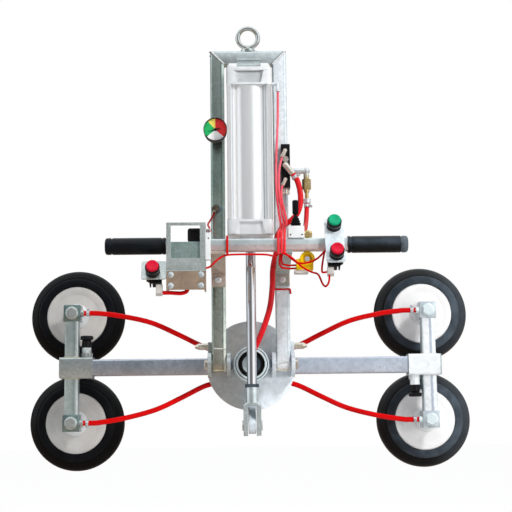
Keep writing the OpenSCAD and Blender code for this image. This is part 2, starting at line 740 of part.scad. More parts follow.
// One push button cap with its slight crown
module button_cap() {
    rotate([90, 0, 0]) translate([0, 0, 6 + button_travel + 1]) rotate_extrude()
        polygon([[0, 0], [button_d / 2, 0], [button_d / 2, collar_h + cap_proud - button_travel - 9],
                 [button_d / 2 - 1.5, collar_h + cap_proud - button_travel - 7.4],
                 [button_d / 4, collar_h + cap_proud - button_travel - 6.8],
                 [0, collar_h + cap_proud - button_travel - 6.6]]);
}

module button_green() color("#0b9a5c") from_tilt_axis() on_panel(panel_x, panel_top, panel_green) button_cap();

module button_red() color("#cf1226") from_tilt_axis()
    on_panel(panel_x + 2, panel_top, panel_red) button_cap();

module button_release() color("#dd0f1c") from_tilt_axis()
    on_panel(left_panel_x - 2, left_panel_top, left_button) button_cap();

// Folded sheet box at the left end of the bar, with a window in its front
module control_housing() color(zinc) from_tilt_axis() {
    translate([0, -housing_front, 0]) rotate([90, 0, 0]) translate([0, 0, -housing_t])
        linear_extrude(height = housing_t) difference() {
            polygon([[housing_left, housing_top], [bar_left, housing_top],
                     [bar_left, housing_low], [housing_left, housing_low]]);
            translate(window[0]) square(window[1] - window[0]);
        }
    for (x = [housing_left, bar_left - housing_t])
        translate([x, -housing_front + housing_t, housing_low])
            cube([housing_t, housing_depth, housing_top - housing_low]);
    translate([housing_left + housing_t, -housing_front + housing_t + 4, window[0][1] - 4])
        cube([bar_left - housing_left - 2 * housing_t, housing_t, shelf_top - window[0][1] + 4]);
}

// White vacuum switch on the side of the housing
module vacuum_switch() color("#eceeee") from_tilt_axis() difference() {
    translate([bar_left, -housing_front + 2, 200]) cube([10, 15, 62]);
    rod_y(bar_left + 6, 243, 3, -housing_front, -housing_front + 5);
}

// Vacuum hose from the ejector's hose down to the elbow in the hub
module hose_main() color(hose_red) from_tilt_axis() hose(main_route, hose_d, 10, 3, [1, 0, 0]);

// Hoses that join the ejector, the air inlet and the hand valve
module hose_supply() color(hose_red) from_tilt_axis() {
    hose(ejector_route, hose_d, 10, 2, [0, 1, 0]);
    hose(inlet_route, 10, 10, 3, [1, 0, 0]);
}

// Thin air tubes between the valves, the cylinder and the buttons
module air_tubes() color(hose_red) from_tilt_axis() {
    for (route = [cylinder_tube, pilot_tube, low_tube]) hose(route, air_d, 8, 2, [1, 0, 0]);
    for (route = [bar_tube, loop_tube, cross_tube, link_tube, green_tube, gauge_tube])
        hose(route, air_d * 0.8, 8, 2, unit([1, 0.35, 0.2]));
    hose(release_hose, release_hose_d, 8, 2, [0, 1, 0]);
}

// Drawn tube of the cylinder: a round bore with four ribs for the cap screws
module cylinder_barrel() color(alloy) from_tilt_axis() {
    rib = 9;
    at = cap_side / 2 - rib / 2 - 0.5;
    translate([0, -cyl_front, barrel_low]) linear_extrude(height = barrel_len) difference() {
        union() {
            circle(d = bore_d + 8, $fn = 96);
            for (turn = [45, 135]) rotate(turn) square([2 * at * sqrt(2), 6], center = true);
            for (x = [-1, 1]) for (y = [-1, 1]) translate([x * at, y * at]) square(rib, center = true);
        }
        circle(d = bore_d, $fn = 96);
    }
}

// The hollow of a recess in a cap's side: a flat floor with walls that flare towards the outer end
module recess() {
    floor_y = recess_depth - cap_side / 2;
    mouth_y = -cap_side / 2 - 0.5;
    polyhedron(points = [[-23, floor_y, 6], [23, floor_y, 6], [23, floor_y, cap_h + 1],
                         [-23, floor_y, cap_h + 1], [-24.5, mouth_y, 4], [24.5, mouth_y, 4],
                         [31, mouth_y, cap_h + 1], [-31, mouth_y, cap_h + 1]],
               faces = [[0, 1, 2], [0, 2, 3], [4, 6, 5], [4, 7, 6], [0, 5, 1], [0, 4, 5], [3, 2, 6],
                        [3, 6, 7], [0, 3, 7], [0, 7, 4], [1, 5, 6], [1, 6, 2]]);
}

// One end cap with a flared recess in each side, opening at its outer end
module end_cap() {
    difference() {
        linear_extrude(height = cap_h) polygon(rounded_box(cap_side, cap_side, cap_r));
        for (turn = [0:90:270]) rotate(turn) recess();
        for (x = [-1, 1]) for (y = [-1, 1])
            translate([x * cap_screw_at, y * cap_screw_at, cap_h - 7]) cylinder(d = 13, h = 8);
    }
}

module cylinder_caps() color(alloy) from_tilt_axis() {
    translate([0, -cyl_front, barrel_top]) end_cap();
    difference() {
        union() {
            translate([0, -cyl_front, barrel_low]) mirror([0, 0, 1]) end_cap();
            translate([0, -cyl_front, front_cap_low - gland_h]) cylinder(d = gland_d, h = gland_h + 1);
        }
        translate([0, -cyl_front, front_cap_low - gland_h - 1])
            cylinder(d = rod_d + 2 * running, h = cap_h + gland_h + 2);
    }
}

// Clevis screwed to the rear cap, with two ears beside the mast's tongue
module rear_clevis() color(alloy) from_tilt_axis() difference() {
    union() {
        translate([0, -cyl_front, rear_cap_top]) linear_extrude(height = clevis_base_t)
            polygon(rounded_box(cap_side, cap_side, cap_r));
        for (side = [-1, 1])
            side_plate(concat([[-cyl_front + clevis_ear_r, clevis_top - 1]],
                              arc([-cyl_front, clevis_z], clevis_ear_r, 0, 180, 16),
                              [[-cyl_front - clevis_ear_r, clevis_top - 1]]),
                       side * (clevis_gap + clevis_ear_t) / 2 - clevis_ear_t / 2,
                       side * (clevis_gap + clevis_ear_t) / 2 + clevis_ear_t / 2);
    }
    rod_x(-cyl_front, clevis_z, clevis_pin_d, -cap_side, cap_side);
}

module clevis_pin() color(chrome_grey) from_tilt_axis() {
    half = clevis_gap / 2 + clevis_ear_t;
    rod_x(-cyl_front, clevis_z, clevis_pin_d, -half - 1, half + 1);
    for (side = [-1, 1])
        rod_x(-cyl_front, clevis_z, clevis_pin_d + 4, side * (half + 1.5) - 1.5, side * (half + 1.5) + 1.5);
}

// Socket screws of the two end caps, and the elbow at the upper port
module cylinder_fittings() color(chrome_grey) from_tilt_axis() {
    for (x = [-1, 1]) for (y = [-1, 1]) translate([x * cap_screw_at, y * cap_screw_at - cyl_front, 0]) {
        translate([0, 0, rear_cap_top - 7]) cylinder(d = 12, h = 6.5);
        difference() {
            translate([0, 0, front_cap_low + 0.5]) cylinder(d = 12, h = 6.5);
            translate([0, 0, front_cap_low]) cylinder(d = 6, h = 4, $fn = 6);
        }
    }
    rod_x(-cyl_front, port_z, 9, cap_side / 2 - 7, cap_side / 2 + 14);
    rod_x(-cyl_front, port_z, port_d, cap_side / 2 - 7, cap_side / 2, 6);
    translate([cap_side / 2 + 14, -cyl_front, port_z - 17]) cylinder(d = 9, h = 21.5);
}

// The chromed rod, from the piston down into the fork's neck
module piston_rod() color(alloy) from_tilt_axis()
    translate([0, -cyl_front, rod_low_z]) cylinder(d = rod_d, h = piston_low + piston_h - rod_low_z);

module piston() color(chrome_grey) from_tilt_axis() translate([0, -cyl_front, piston_low]) {
    r = bore_d / 2 - running;
    rotate_extrude($fn = 96)
        polygon([[rod_d / 2, 0], [r - 2, 0], [r - 2, 4], [r, 4], [r, 10], [r - 2, 10], [r - 2, 16],
                 [r, 16], [r, 22], [r - 2, 22], [r - 2, piston_h], [rod_d / 2, piston_h]]);
}

// Fork end with its round neck and lock nut
module rod_fork() color(zinc) from_tilt_axis() difference() {
    union() {
        intersection() {
            translate([-fork_side / 2, -cyl_front - fork_side / 2, fork_low_z])
                cube([fork_side, fork_side, fork_top_z - fork_low_z]);
            translate([0, -cyl_front, fork_low_z]) rotate_extrude()
                polygon([[0, 0], [fork_side / 2 + 2, 0], [fork_side * 0.72, 10],
                         [fork_side * 0.72, fork_top_z - fork_low_z - 8],
                         [fork_side / 2 + 1, fork_top_z - fork_low_z], [0, fork_top_z - fork_low_z]]);
        }
        translate([0, -cyl_front, fork_top_z - 1]) cylinder(d = neck_d, h = neck_h + 1);
        translate([0, -cyl_front, fork_top_z + neck_h]) cylinder(d = neck_d + 3, h = rod_nut_h, $fn = 6);
    }
    translate([-fork_slot / 2, -cyl_front - fork_side, fork_low_z - 1])
        cube([fork_slot, 2 * fork_side, fork_base_z - fork_low_z + 1]);
    rod_x(-cyl_front, fork_z, fork_pin_d, -fork_side, fork_side);
    translate([0, -cyl_front, rod_low_z]) cylinder(d = rod_d, h = neck_h + rod_nut_h + 20);
}

// The fork's pin as its two ends in the cheeks, with retaining rings; its middle is left open
module fork_pin() color(chrome_grey) from_tilt_axis() {
    for (side = [-1, 1]) {
        rod_x(-cyl_front, fork_z, fork_pin_d, side * (fork_side / 2 + fork_slot / 2) / 2
              - (fork_side - fork_slot) / 4, side * (fork_side / 2 + fork_slot / 2) / 2
              + (fork_side - fork_slot) / 4);
        rod_x(-cyl_front, fork_z, fork_ring_d, side * (fork_side + fork_ring_t) / 2 - fork_ring_t / 2,
              side * (fork_side + fork_ring_t) / 2 + fork_ring_t / 2);
    }
}

// Round plate that tilts about the foot of the mast
module tilt_plate() color(zinc) from_tilt_axis() difference() {
    rod_y(0, 0, tilt_plate_d, plate_front, plate_rear, 128);
    rod_y(0, 0, shaft_d + 6, plate_front - 1, plate_rear + 1);
}

// Four ears that hold the legs' feet
module pivot_ears() color(zinc) from_tilt_axis() {
    ear = concat(arc([0, 0], ear_r, 90, 270, 20), [[plate_front, -ear_r], [plate_front, ear_r]]);
    for (side = [-1, 1]) for (x = [inner_ear_x, outer_ear_x]) difference() {
        side_plate(ear, side * (x + ear_t / 2) - ear_t / 2, side * (x + ear_t / 2) + ear_t / 2);
        rod_x(0, 0, pivot_d, side * (x + ear_t / 2) - ear_t, side * (x + ear_t / 2) + ear_t);
    }
    for (side = [-1, 1])
        side_plate([[plate_front, ear_r - 1], [18, ear_r - 1], [16, lock_rise - 4], [16, lock_rise + 9],
                    [32, lock_rise + 9], [plate_front, lock_rise]],
                   side * (outer_ear_x + ear_t / 2) - ear_t / 2,
                   side * (outer_ear_x + ear_t / 2) + ear_t / 2);
}

// Pivot bolts through the ears and the legs, and the locking bodies above them
module pivot_bolts() color(chrome_grey) from_tilt_axis() for (side = [-1, 1]) {
    out = outer_ear_x + ear_t;
    mid = (out + inner_ear_x) / 2;
    half = (out - inner_ear_x) / 2;
    rod_x(0, 0, pivot_d, side * mid - half, side * mid + half);
    rod_x(0, 0, bolt_head_d, side * (out + bolt_head_h / 2) - bolt_head_h / 2,
          side * (out + bolt_head_h / 2) + bolt_head_h / 2, 6);
    rod_x(0, 0, bolt_head_d, side * (inner_ear_x - 2) - 2, side * (inner_ear_x - 2) + 2, 6);
    rod_x(24, lock_rise, lock_d, side * (out + lock_len / 2) - lock_len / 2,
          side * (out + lock_len / 2) + lock_len / 2);
    translate([side * (out + lock_len), 24, lock_rise]) rotate([0, side * 90, 0])
        cylinder(d1 = lock_d - 1, d2 = 6, h = 7);
}

// Bearing housing on the front of the plate, with the hose elbow in its middle
module hub_housing() color(zinc) from_tilt_axis() {
    difference() {
        rod_y(0, 0, hub_d, hub_front, plate_front, 96);
        rod_y(0, 0, bearing_d, hub_front - 1, bearing_front + bearing_len, 96);
        rod_y(0, 0, shaft_d + 6, hub_front, plate_front + 1);
    }
    translate([0, bearing_front - nipple_d / 2, 0]) {
        rod_y(0, 0, nipple_d, 0, nipple_d / 2);
        sphere(d = nipple_d);
        rotate([36, 0, 0]) cylinder(d = 10, h = 14);
    }
}

// Sealed bearing in the housing, closed in front by its black cover
module hub_bearing() color(rubber_black) from_tilt_axis() difference() {
    rod_y(0, 0, bearing_d, bearing_front, bearing_front + bearing_len, 96);
    rod_y(0, 0, shaft_d + 2 * running, bearing_front + 8, bearing_front + bearing_len + 1);
}

// Lever under the hub that the fork pulls up to tilt the pads
module tilt_lever() color(zinc) from_tilt_axis() {
    eye = [-cyl_front, fork_z];
    upper = [plate_front, lever_root_top];
    lower = [plate_front, lever_root_low];
    from = tangent_angle(upper, eye, fork_eye_r, 1);
    to = tangent_angle(lower, eye, fork_eye_r, -1) + 360;
    difference() {
        side_plate(concat([upper], arc(eye, fork_eye_r, from, to, 16), [lower]),
                   -tilt_lever_t / 2, tilt_lever_t / 2);
        rod_x(-cyl_front, fork_z, fork_pin_d, -tilt_lever_t, tilt_lever_t);
    }
}

// Hollow shaft and flange that the arm turns with
module rotor_hub() color(zinc) from_tilt_axis() difference() {
    union() {
        rod_y(0, 0, shaft_d, bearing_front + 8 + touch, rotor_front + 1);
        rod_y(0, 0, rotor_d, rotor_front, arm_front, 96);
    }
    rod_y(0, 0, 16, bearing_front, arm_front - 3);
}

// The arm tube with its welded ends and its rows of locking holes
module arm_beam() color(zinc) from_tilt_axis() difference() {
    union() {
        translate([-arm_half, arm_y, 0]) rotate([0, 90, 0])
            square_tube(arm_side, arm_wall, arm_r, 2 * arm_half);
        for (side = [-1, 1])
            side_plate([for (p = rounded_box(arm_side, arm_side, arm_r)) p + [arm_y, 0]],
                       side * (arm_half - plug_t / 2) - plug_t / 2,
                       side * (arm_half - plug_t / 2) + plug_t / 2);
    }
    for (i = [0:lock_count - 1]) {
        translate([-lock_x + i * lock_pitch, arm_y, 0]) cylinder(d = lock_pin_d + 1, h = arm_side);
        translate([lock_x - i * lock_pitch, arm_y, -arm_side]) cylinder(d = lock_pin_d + 1, h = arm_side);
    }
}

// Two vacuum distributors on the back of the rotor
module manifold() color(zinc) from_tilt_axis() for (up = [-1, 1]) {
    translate([-44, arm_front, up * manifold_z - manifold_side / 2])
        cube([88, manifold_side, manifold_side]);
    for (side = [-1, 1])
        rod_x(70, up * 36, 9, side * 58 - 14, side * 58 + 14);
}

// Vacuum hoses from the rotor to the pads of one side
module pad_hoses(side) {
    for (z = [-1, 1])
        hose([for (p = z > 0 ? upper_pad_route : lower_pad_route) [side * p[0], p[1], z * p[2]]],
             pad_hose_d, 10, 2, [0, 1, 0]);
}

module hoses_left() color(hose_red) from_tilt_axis() pad_hoses(-1);

module hoses_right() color(hose_red) from_tilt_axis() pad_hoses(1);

// Sleeve, posts and the boss of the locking plunger, for the right side as seen from the front
module sleeve(side) {
    up = -side;
    difference() {
        union() {
            translate([side * sleeve_x - sleeve_len / 2, arm_y, 0]) rotate([0, 90, 0])
                square_tube(sleeve_side, sleeve_wall, 5, sleeve_len);
            translate([side * lock_x, arm_y, 0]) mirror([0, 0, up > 0 ? 0 : 1]) {
                translate([0, 0, sleeve_side / 2 - 1]) cylinder(d = lock_hex, h = lock_hex_h / 2, $fn = 6);
                translate([0, 0, sleeve_side / 2 - 1]) rotate(30)
                    cylinder(d = lock_hex - 3, h = lock_hex_h + 1, $fn = 6);
            }
        }
        translate([side * lock_x, arm_y, up > 0 ? sleeve_side / 2 - sleeve_wall - 1 : -sleeve_side / 2 - lock_hex_h - 1])
            cylinder(d = lock_pin_d + 2 * running, h = lock_hex_h + sleeve_wall + 2);
    }
    for (z = [-1, 1]) translate([side * post_x, arm_y, z > 0 ? sleeve_side / 2 : -post_top])
        square_tube(post_side, post_wall, 4, post_top - sleeve_side / 2);
}

module sleeve_left() color(zinc) from_tilt_axis() sleeve(-1);

module sleeve_right() color(zinc) from_tilt_axis() sleeve(1);

// Blocks on the posts' ends with their bolts and hose clamps
module pad_mounts(side) {
    for (z = [-1, 1]) translate([side * post_x, 0, z * pad_rise]) {
        difference() {
            translate([-block_side / 2, block_front, -block_side / 2])
                cube([block_side, block_depth, block_side]);
            rod_y(0, 0, pad_bolt_d, block_front - 1, block_rear + 1);
        }
        rod_y(0, 0, pad_bolt_head, block_front - pad_bolt_h, block_front, 6);
        rod_y(0, 0, pad_bolt_d, block_front, block_rear);
        rod_y(0, 0, stud_d, block_rear, block_rear + pad_stud_len - touch);
        rod_y(0, 0, stud_d + 8, block_rear, block_rear + 5, 6);
        difference() {
            rod_x(pad_hose_y, 0, clamp_d, -side * (block_side + clamp_t) / 2 - clamp_t / 2,
                  -side * (block_side + clamp_t) / 2 + clamp_t / 2);
            rod_x(pad_hose_y, 0, pad_hose_d + 2 * touch, -block_side, block_side);
        }
    }
}

module pad_mounts_left() color(zinc) from_tilt_axis() pad_mounts(-1);

module pad_mounts_right() color(zinc) from_tilt_axis() pad_mounts(1);

// White pressed plates of the pads, with a raised boss in the middle
module pad_plates(side) {
    for (z = [-1, 1]) translate([side * post_x, plate_front_y, z * pad_rise]) rotate([-90, 0, 0])
        rotate_extrude($fn = 96)
            polygon([[0, -boss_h], [boss_d / 2 - 7, -boss_h], [boss_d / 2 - 5, 2 - boss_h],
                     [boss_d / 2 - 4, -2], [boss_d / 2, 0], [boss_d / 2 + 1, 3], [boss_d / 2 + 6, 3.5],
                     [boss_d / 2 + 8, 4.5], [plate_d / 2 - 2, 6], [plate_d / 2, 8],
                     [plate_d / 2, 8 + plate_t], [0, 8 + plate_t]]);
}

module pad_plates_left() color("#f2efec") from_tilt_axis() pad_plates(-1);

module pad_plates_right() color("#f2efec") from_tilt_axis() pad_plates(1);

// Rubber pads: a ring round the plate that runs out into the sealing lip
module pads(side) {
    r = pad_d / 2;
    seat = plate_d / 2;
    for (z = [-1, 1]) translate([side * post_x, pad_front, z * pad_rise]) rotate([-90, 0, 0])
        rotate_extrude($fn = 128)
            polygon([[seat, 6], [seat + 3, 4], [seat + 16, 6], [seat + 20, 9], [seat + 22, 12],
                     [r - 12, 15], [r - 5, 20], [r - 1, 28], [r, 36], [r - 1, pad_depth],
                     [r - 6, pad_depth], [r - 13, pad_depth - 12], [0, pad_depth - 14],
                     [0, 7 + plate_t], [seat, 7 + plate_t]]);
}

module pads_left() color(rubber_black) from_tilt_axis() pads(-1);

module pads_right() color(rubber_black) from_tilt_axis() pads(1);

// Pull knob and pin of a sleeve's lock, upwards on the left and downwards on the right
module plunger(up) {
    translate([-up * lock_x, arm_y, 0]) mirror([0, 0, up > 0 ? 0 : 1]) {
        translate([0, 0, arm_side / 2 + touch]) cylinder(d = lock_pin_d, h = sleeve_gap + sleeve_wall + lock_hex_h + lock_neck_h);
        translate([0, 0, sleeve_side / 2 + lock_hex_h + 1]) rotate_extrude()
            polygon([[0, 0], [10.5, 0], [10.5, lock_neck_h], [9, lock_neck_h + 1.5],
                     [14, lock_neck_h + 3], [14, lock_knob_h - 1.5], [12, lock_knob_h],
                     [0, lock_knob_h]]);
    }
}

module plunger_left() color(rubber_black) from_tilt_axis() plunger(1);

module plunger_right() color(rubber_black) from_tilt_axis() plunger(-1);

leg_left();
leg_right();
mast_head();
lifting_eye();
frame_bolts();
handle_brackets();
handlebar();
grips();
gauge_case();
gauge_dial();
gauge_lens();
gauge_needle();
ejector_block();
ejector_fittings();
inlet_valve();
lever_valve();
valve_boot();
valve_lever();
alarm_horn();
button_brackets();
button_collars();
button_valves();
button_green();
button_red();
button_release();
control_housing();
vacuum_switch();
hose_main();
hose_supply();
air_tubes();
cylinder_barrel();
cylinder_caps();
rear_clevis();
clevis_pin();
cylinder_fittings();
piston_rod();
piston();
rod_fork();
fork_pin();
tilt_plate();
pivot_ears();
pivot_bolts();
hub_housing();
hub_bearing();
tilt_lever();
rotor_hub();
arm_beam();
manifold();
hoses_left();
hoses_right();
sleeve_left();
sleeve_right();
pad_mounts_left();
pad_mounts_right();
pad_plates_left();
pad_plates_right();
pads_left();
pads_right();
plunger_left();
plunger_right();
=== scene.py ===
# %% [markdown]
# # A pneumatic suction lifter
#
# The lifter hangs on an eye. A welded mast carries a cylinder, and the cylinder tilts a round
# plate with a turning arm, whose sliding sleeves hold rubber pads. The imported CAD model gives
# every place and size, so this script only makes the surfaces, the materials, the light and the
# camera. First the model is loaded.

# %% Load the fixed frame
import json
import math

import bmesh
import bpy
from mathutils import Matrix, Vector


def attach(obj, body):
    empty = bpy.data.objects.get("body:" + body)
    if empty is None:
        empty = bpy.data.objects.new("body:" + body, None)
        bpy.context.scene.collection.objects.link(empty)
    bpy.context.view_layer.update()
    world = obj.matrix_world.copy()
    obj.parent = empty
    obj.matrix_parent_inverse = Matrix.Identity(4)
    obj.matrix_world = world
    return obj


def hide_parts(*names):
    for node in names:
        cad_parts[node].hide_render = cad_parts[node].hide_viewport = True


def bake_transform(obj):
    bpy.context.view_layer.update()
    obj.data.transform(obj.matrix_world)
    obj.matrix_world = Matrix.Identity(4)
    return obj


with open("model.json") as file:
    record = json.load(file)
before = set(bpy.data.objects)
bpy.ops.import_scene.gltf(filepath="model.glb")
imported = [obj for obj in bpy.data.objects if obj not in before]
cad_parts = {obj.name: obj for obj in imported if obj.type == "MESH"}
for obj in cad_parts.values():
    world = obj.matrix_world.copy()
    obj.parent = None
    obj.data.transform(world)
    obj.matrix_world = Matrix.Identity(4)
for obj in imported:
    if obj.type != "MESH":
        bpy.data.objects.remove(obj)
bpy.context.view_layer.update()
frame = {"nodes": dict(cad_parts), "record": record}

# %% [markdown]
# ## Measures
#
# On the drawing board the lifter is measured in millimetres from the axis that it tilts about.
# One helper turns such a place into the frame's metres, which are counted from the lifting eye.

# %% Places in millimetres from the tilt axis
EYE_RISE = 713.0
CYLINDER_Y, CLEVIS_Z, CAP_SCREW, FORK_Z = -60, 627, 36.5, -127
BOLT_X, BAR_Y, BAR_Z, BAR_SCREW = 91.5, -140, 232, (67.5, -21, 176.5)
GAUGE_X, GAUGE_Z = -71.5, 490
ARM_Y, POST_X, PAD_Z, LOCK_X = 74, 386, 118, 355
VALVE_X, VALVE_TOP = 90.5, 268.5


def at(x, y, z):
    """A place in the frame's metres."""
    return Vector((x / 1000, y / 1000, (z - EYE_RISE) / 1000))


def rise_of(z):
    """A height in metres from the eye, for a height in millimetres from the axis."""
    return (z - EYE_RISE) / 1000


BODY_OF = {n: b for b, nodes in frame["record"]["behaviour"]["bodies"].items() for n in nodes}
print("tilt axis at", at(0, 0, 0))

# %% [markdown]
# ## Camera
#
# The photograph was taken from low in front, a little to the left, with a long lens. The lens,
# place and turns come from lining up known edges: the eye, the mast's corners, the arm and the
# pads. A matrix with the camera's right, up and backward directions sets the view exactly, where
# aiming at a target would lose the slight roll.

# %% Camera
SENSOR, PICTURE_PIXELS, FOCAL_PIXELS = 36, 512, 1164
TURN, RISE, ROLL = (math.radians(a) for a in (1.13, 8.26, 0.67))
CAMERA_PLACE = (-36, -2456, -126)
camera_data = bpy.data.cameras.new("camera")
camera = bpy.data.objects.new("camera", camera_data)
bpy.context.scene.collection.objects.link(camera)
camera_data.sensor_width = SENSOR
camera_data.lens = SENSOR * FOCAL_PIXELS / PICTURE_PIXELS
camera_data.clip_end = 60
forward = Vector((math.sin(TURN) * math.cos(RISE), math.cos(TURN) * math.cos(RISE), math.sin(RISE)))
level = Vector((math.cos(TURN), -math.sin(TURN), 0))
above = level.cross(forward)
right = level * math.cos(ROLL) - above * math.sin(ROLL)
up = above * math.cos(ROLL) + level * math.sin(ROLL)
pose = Matrix((right, up, -forward)).transposed().to_4x4()
pose.translation = at(*CAMERA_PLACE)
camera.matrix_world = pose
bpy.context.scene.camera = camera
print("lens", round(camera_data.lens, 2), "mm")

# %% [markdown]
# ## Light, floor and backdrop
#
# The photograph is a studio picture on white. Its metal shows dark and bright bands: the room in
# front was dim, with a long window on the right and a paler wall on the left. Two lights are kept
# apart here. Lamps light the paint and the rubber, and a world that only reflections see gives the
# metal its bands. The camera itself sees white.

# %% Node helpers
def add_node(tree, kind, operation=None, **inputs):
    """A node, with values for the sockets that are named by their index, as in i1=0.5."""
    node = tree.nodes.new(kind)
    if operation:
        node.operation = operation
    for index, value in inputs.items():
        node.inputs[int(index[1:])].default_value = value
    return node


def ramp_node(tree, stops):
    """A colour ramp from (position, colour) stops."""
    node = tree.nodes.new("ShaderNodeValToRGB")
    while len(node.color_ramp.elements) < len(stops):
        node.color_ramp.elements.new(0.5)
    for element, (position, colour) in zip(node.color_ramp.elements, stops):
        element.position = position
        element.color = (*colour, 1)
    return node


def join(tree, *ways):
    """Links, each given as (node, its output, next node, its input)."""
    for source, output, target, socket in ways:
        tree.links.new(source.outputs[output], target.inputs[socket])


def grey(value, warmth=0.0):
    """A grey that leans to warm, or to cold where warmth is negative."""
    return (value * (1 + warmth), value, value * (1 - warmth))


print("node helpers ready")

# %% World
world = bpy.data.worlds.new("studio")
bpy.context.scene.world = world
world.use_nodes = True
sky = world.node_tree
sky.nodes.clear()
WARM_GROUND = (0.34, 0.27, 0.22, 1)
direction = add_node(sky, "ShaderNodeTexCoord")
split = add_node(sky, "ShaderNodeSeparateXYZ")
forwards = add_node(sky, "ShaderNodeMath", "MULTIPLY", i1=-1.0)
bearing = add_node(sky, "ShaderNodeMath", "ARCTAN2")
around = add_node(sky, "ShaderNodeMath", "MULTIPLY_ADD", i1=0.5 / math.pi, i2=0.5)
# Stops go once round, from behind over the left to the front at 0.5, and over the right
room = ramp_node(sky, [(0.0, grey(0.12)), (0.15, grey(0.06)), (0.22, grey(0.95, -0.03)),
                       (0.34, grey(1.0, -0.03)), (0.38, grey(0.17)), (0.5, grey(0.19)),
                       (0.54, grey(0.3)), (0.575, grey(1.05, -0.02)), (0.69, grey(1.1, -0.02)),
                       (0.74, grey(0.5)), (0.8, grey(0.7)), (0.86, grey(0.1)), (1.0, grey(0.12))])
rise_up = add_node(sky, "ShaderNodeMapRange", i1=0.3, i2=0.75)
drop_down = add_node(sky, "ShaderNodeMapRange", i1=-0.12, i2=-0.5)
overhead = add_node(sky, "ShaderNodeMixRGB", i2=(0.95, 0.98, 1.0, 1))
underfoot = add_node(sky, "ShaderNodeMixRGB", i2=WARM_GROUND)
soft = add_node(sky, "ShaderNodeBackground", i0=(0.9, 0.95, 1.0, 1), i1=0.33)
mirrored = add_node(sky, "ShaderNodeBackground", i1=1.0)
white = add_node(sky, "ShaderNodeBackground", i0=(1, 1, 1, 1), i1=1.0)
path = add_node(sky, "ShaderNodeLightPath")
seen = add_node(sky, "ShaderNodeMath", "MAXIMUM")
glossy_mix = add_node(sky, "ShaderNodeMixShader")
camera_mix = add_node(sky, "ShaderNodeMixShader")
out = add_node(sky, "ShaderNodeOutputWorld")
join(sky, (direction, "Generated", split, 0), (split, "Y", forwards, 0), (split, "X", bearing, 0),
     (forwards, 0, bearing, 1), (bearing, 0, around, 0), (around, 0, room, 0),
     (split, "Z", rise_up, 0), (split, "Z", drop_down, 0), (rise_up, 0, overhead, 0),
     (room, "Color", overhead, 1), (drop_down, 0, underfoot, 0), (overhead, 0, underfoot, 1),
     (underfoot, 0, mirrored, 0), (path, "Is Glossy Ray", glossy_mix, 0), (soft, 0, glossy_mix, 1),
     (mirrored, 0, glossy_mix, 2), (path, "Is Camera Ray", seen, 0),
     (path, "Is Transmission Ray", seen, 1), (seen, 0, camera_mix, 0),
     (glossy_mix, 0, camera_mix, 1), (white, 0, camera_mix, 2), (camera_mix, 0, out, 0))
bpy.context.scene.view_settings.view_transform = "Standard"
print("world", world.name)

# %% Lamps
# Name, place, target, width, height and watts
LAMPS = [
    ("key", (1.75, -2.4, 1.35), (0, 0, -0.5), 0.5, 0.5, 74),
    ("low_right", (1.5, -2.1, -0.7), (0.1, 0, -0.75), 0.5, 0.5, 15),
    ("left_fill", (-2.3, -1.7, -0.2), (0, 0, -0.5), 1.4, 1.9, 6),
    ("top", (0.1, -0.5, 1.9), (0, 0, -0.4), 1.8, 1.4, 12),
    ("back_rim", (0.8, 2.4, 0.6), (0, 0, -0.5), 1.6, 1.6, 18),
]
for name, place, target, wide, high, watts in LAMPS:
    lamp_data = bpy.data.lights.new(name, "AREA")
    lamp_data.shape = "RECTANGLE"
    lamp_data.size, lamp_data.size_y = wide, high
    lamp_data.energy = watts
    lamp = bpy.data.objects.new(name, lamp_data)
    bpy.context.scene.collection.objects.link(lamp)
    lamp.location = place
    lamp.rotation_euler = (Vector(target) - Vector(place)).to_track_quat("-Z", "Y").to_euler()
    lamp.visible_glossy = False
print("lamps", len(LAMPS))

# %% Floor
FLOOR_Z = -1.25
floor_shape = bmesh.new()
bmesh.ops.create_grid(floor_shape, x_segments=1, y_segments=1, size=20)
bmesh.ops.translate(floor_shape, verts=floor_shape.verts, vec=(0, 0, FLOOR_Z))
floor_mesh = bpy.data.meshes.new("floor")
floor_shape.to_mesh(floor_mesh)
floor_shape.free()
floor = bpy.data.objects.new("floor", floor_mesh)
bpy.context.scene.collection.objects.link(floor)
paint = bpy.data.materials.new("pale_floor")
paint.use_nodes = True
tree = paint.node_tree
tree.nodes.clear()
matt = add_node(tree, "ShaderNodeBsdfDiffuse", i0=(0.86, 0.86, 0.86, 1))
glow = add_node(tree, "ShaderNodeEmission", i0=(1, 1, 1, 1), i1=1.1)
carpet = add_node(tree, "ShaderNodeEmission", i0=WARM_GROUND, i1=1.0)
path = add_node(tree, "ShaderNodeLightPath")
below = add_node(tree, "ShaderNodeMixShader")
either = add_node(tree, "ShaderNodeMath", "MAXIMUM")
share = add_node(tree, "ShaderNodeMath", "MULTIPLY", i1=0.86)
mix = add_node(tree, "ShaderNodeMixShader")
out = add_node(tree, "ShaderNodeOutputMaterial")
join(tree, (path, "Is Camera Ray", either, 0), (path, "Is Transmission Ray", either, 1),
     (either, 0, share, 0), (share, 0, mix, 0), (path, "Is Glossy Ray", below, 0),
     (matt, 0, below, 1), (carpet, 0, below, 2), (below, 0, mix, 1), (glow, 0, mix, 2),
     (mix, 0, out, 0))
floor_mesh.materials.append(paint)
print("floor at", FLOOR_Z)

# %% [markdown]
# ## Finishes
#
# Every finish is a Principled surface whose colour, roughness and relief vary a little with noise
# on Object coordinates. Each piece keeps its object at the origin, so one metre of pattern is one
# metre of lifter. Where the picture's light changes across a piece, a ramp along one axis of the
# lifter tones the colour. Numbers that are the same all over stay on the shader's own sockets.

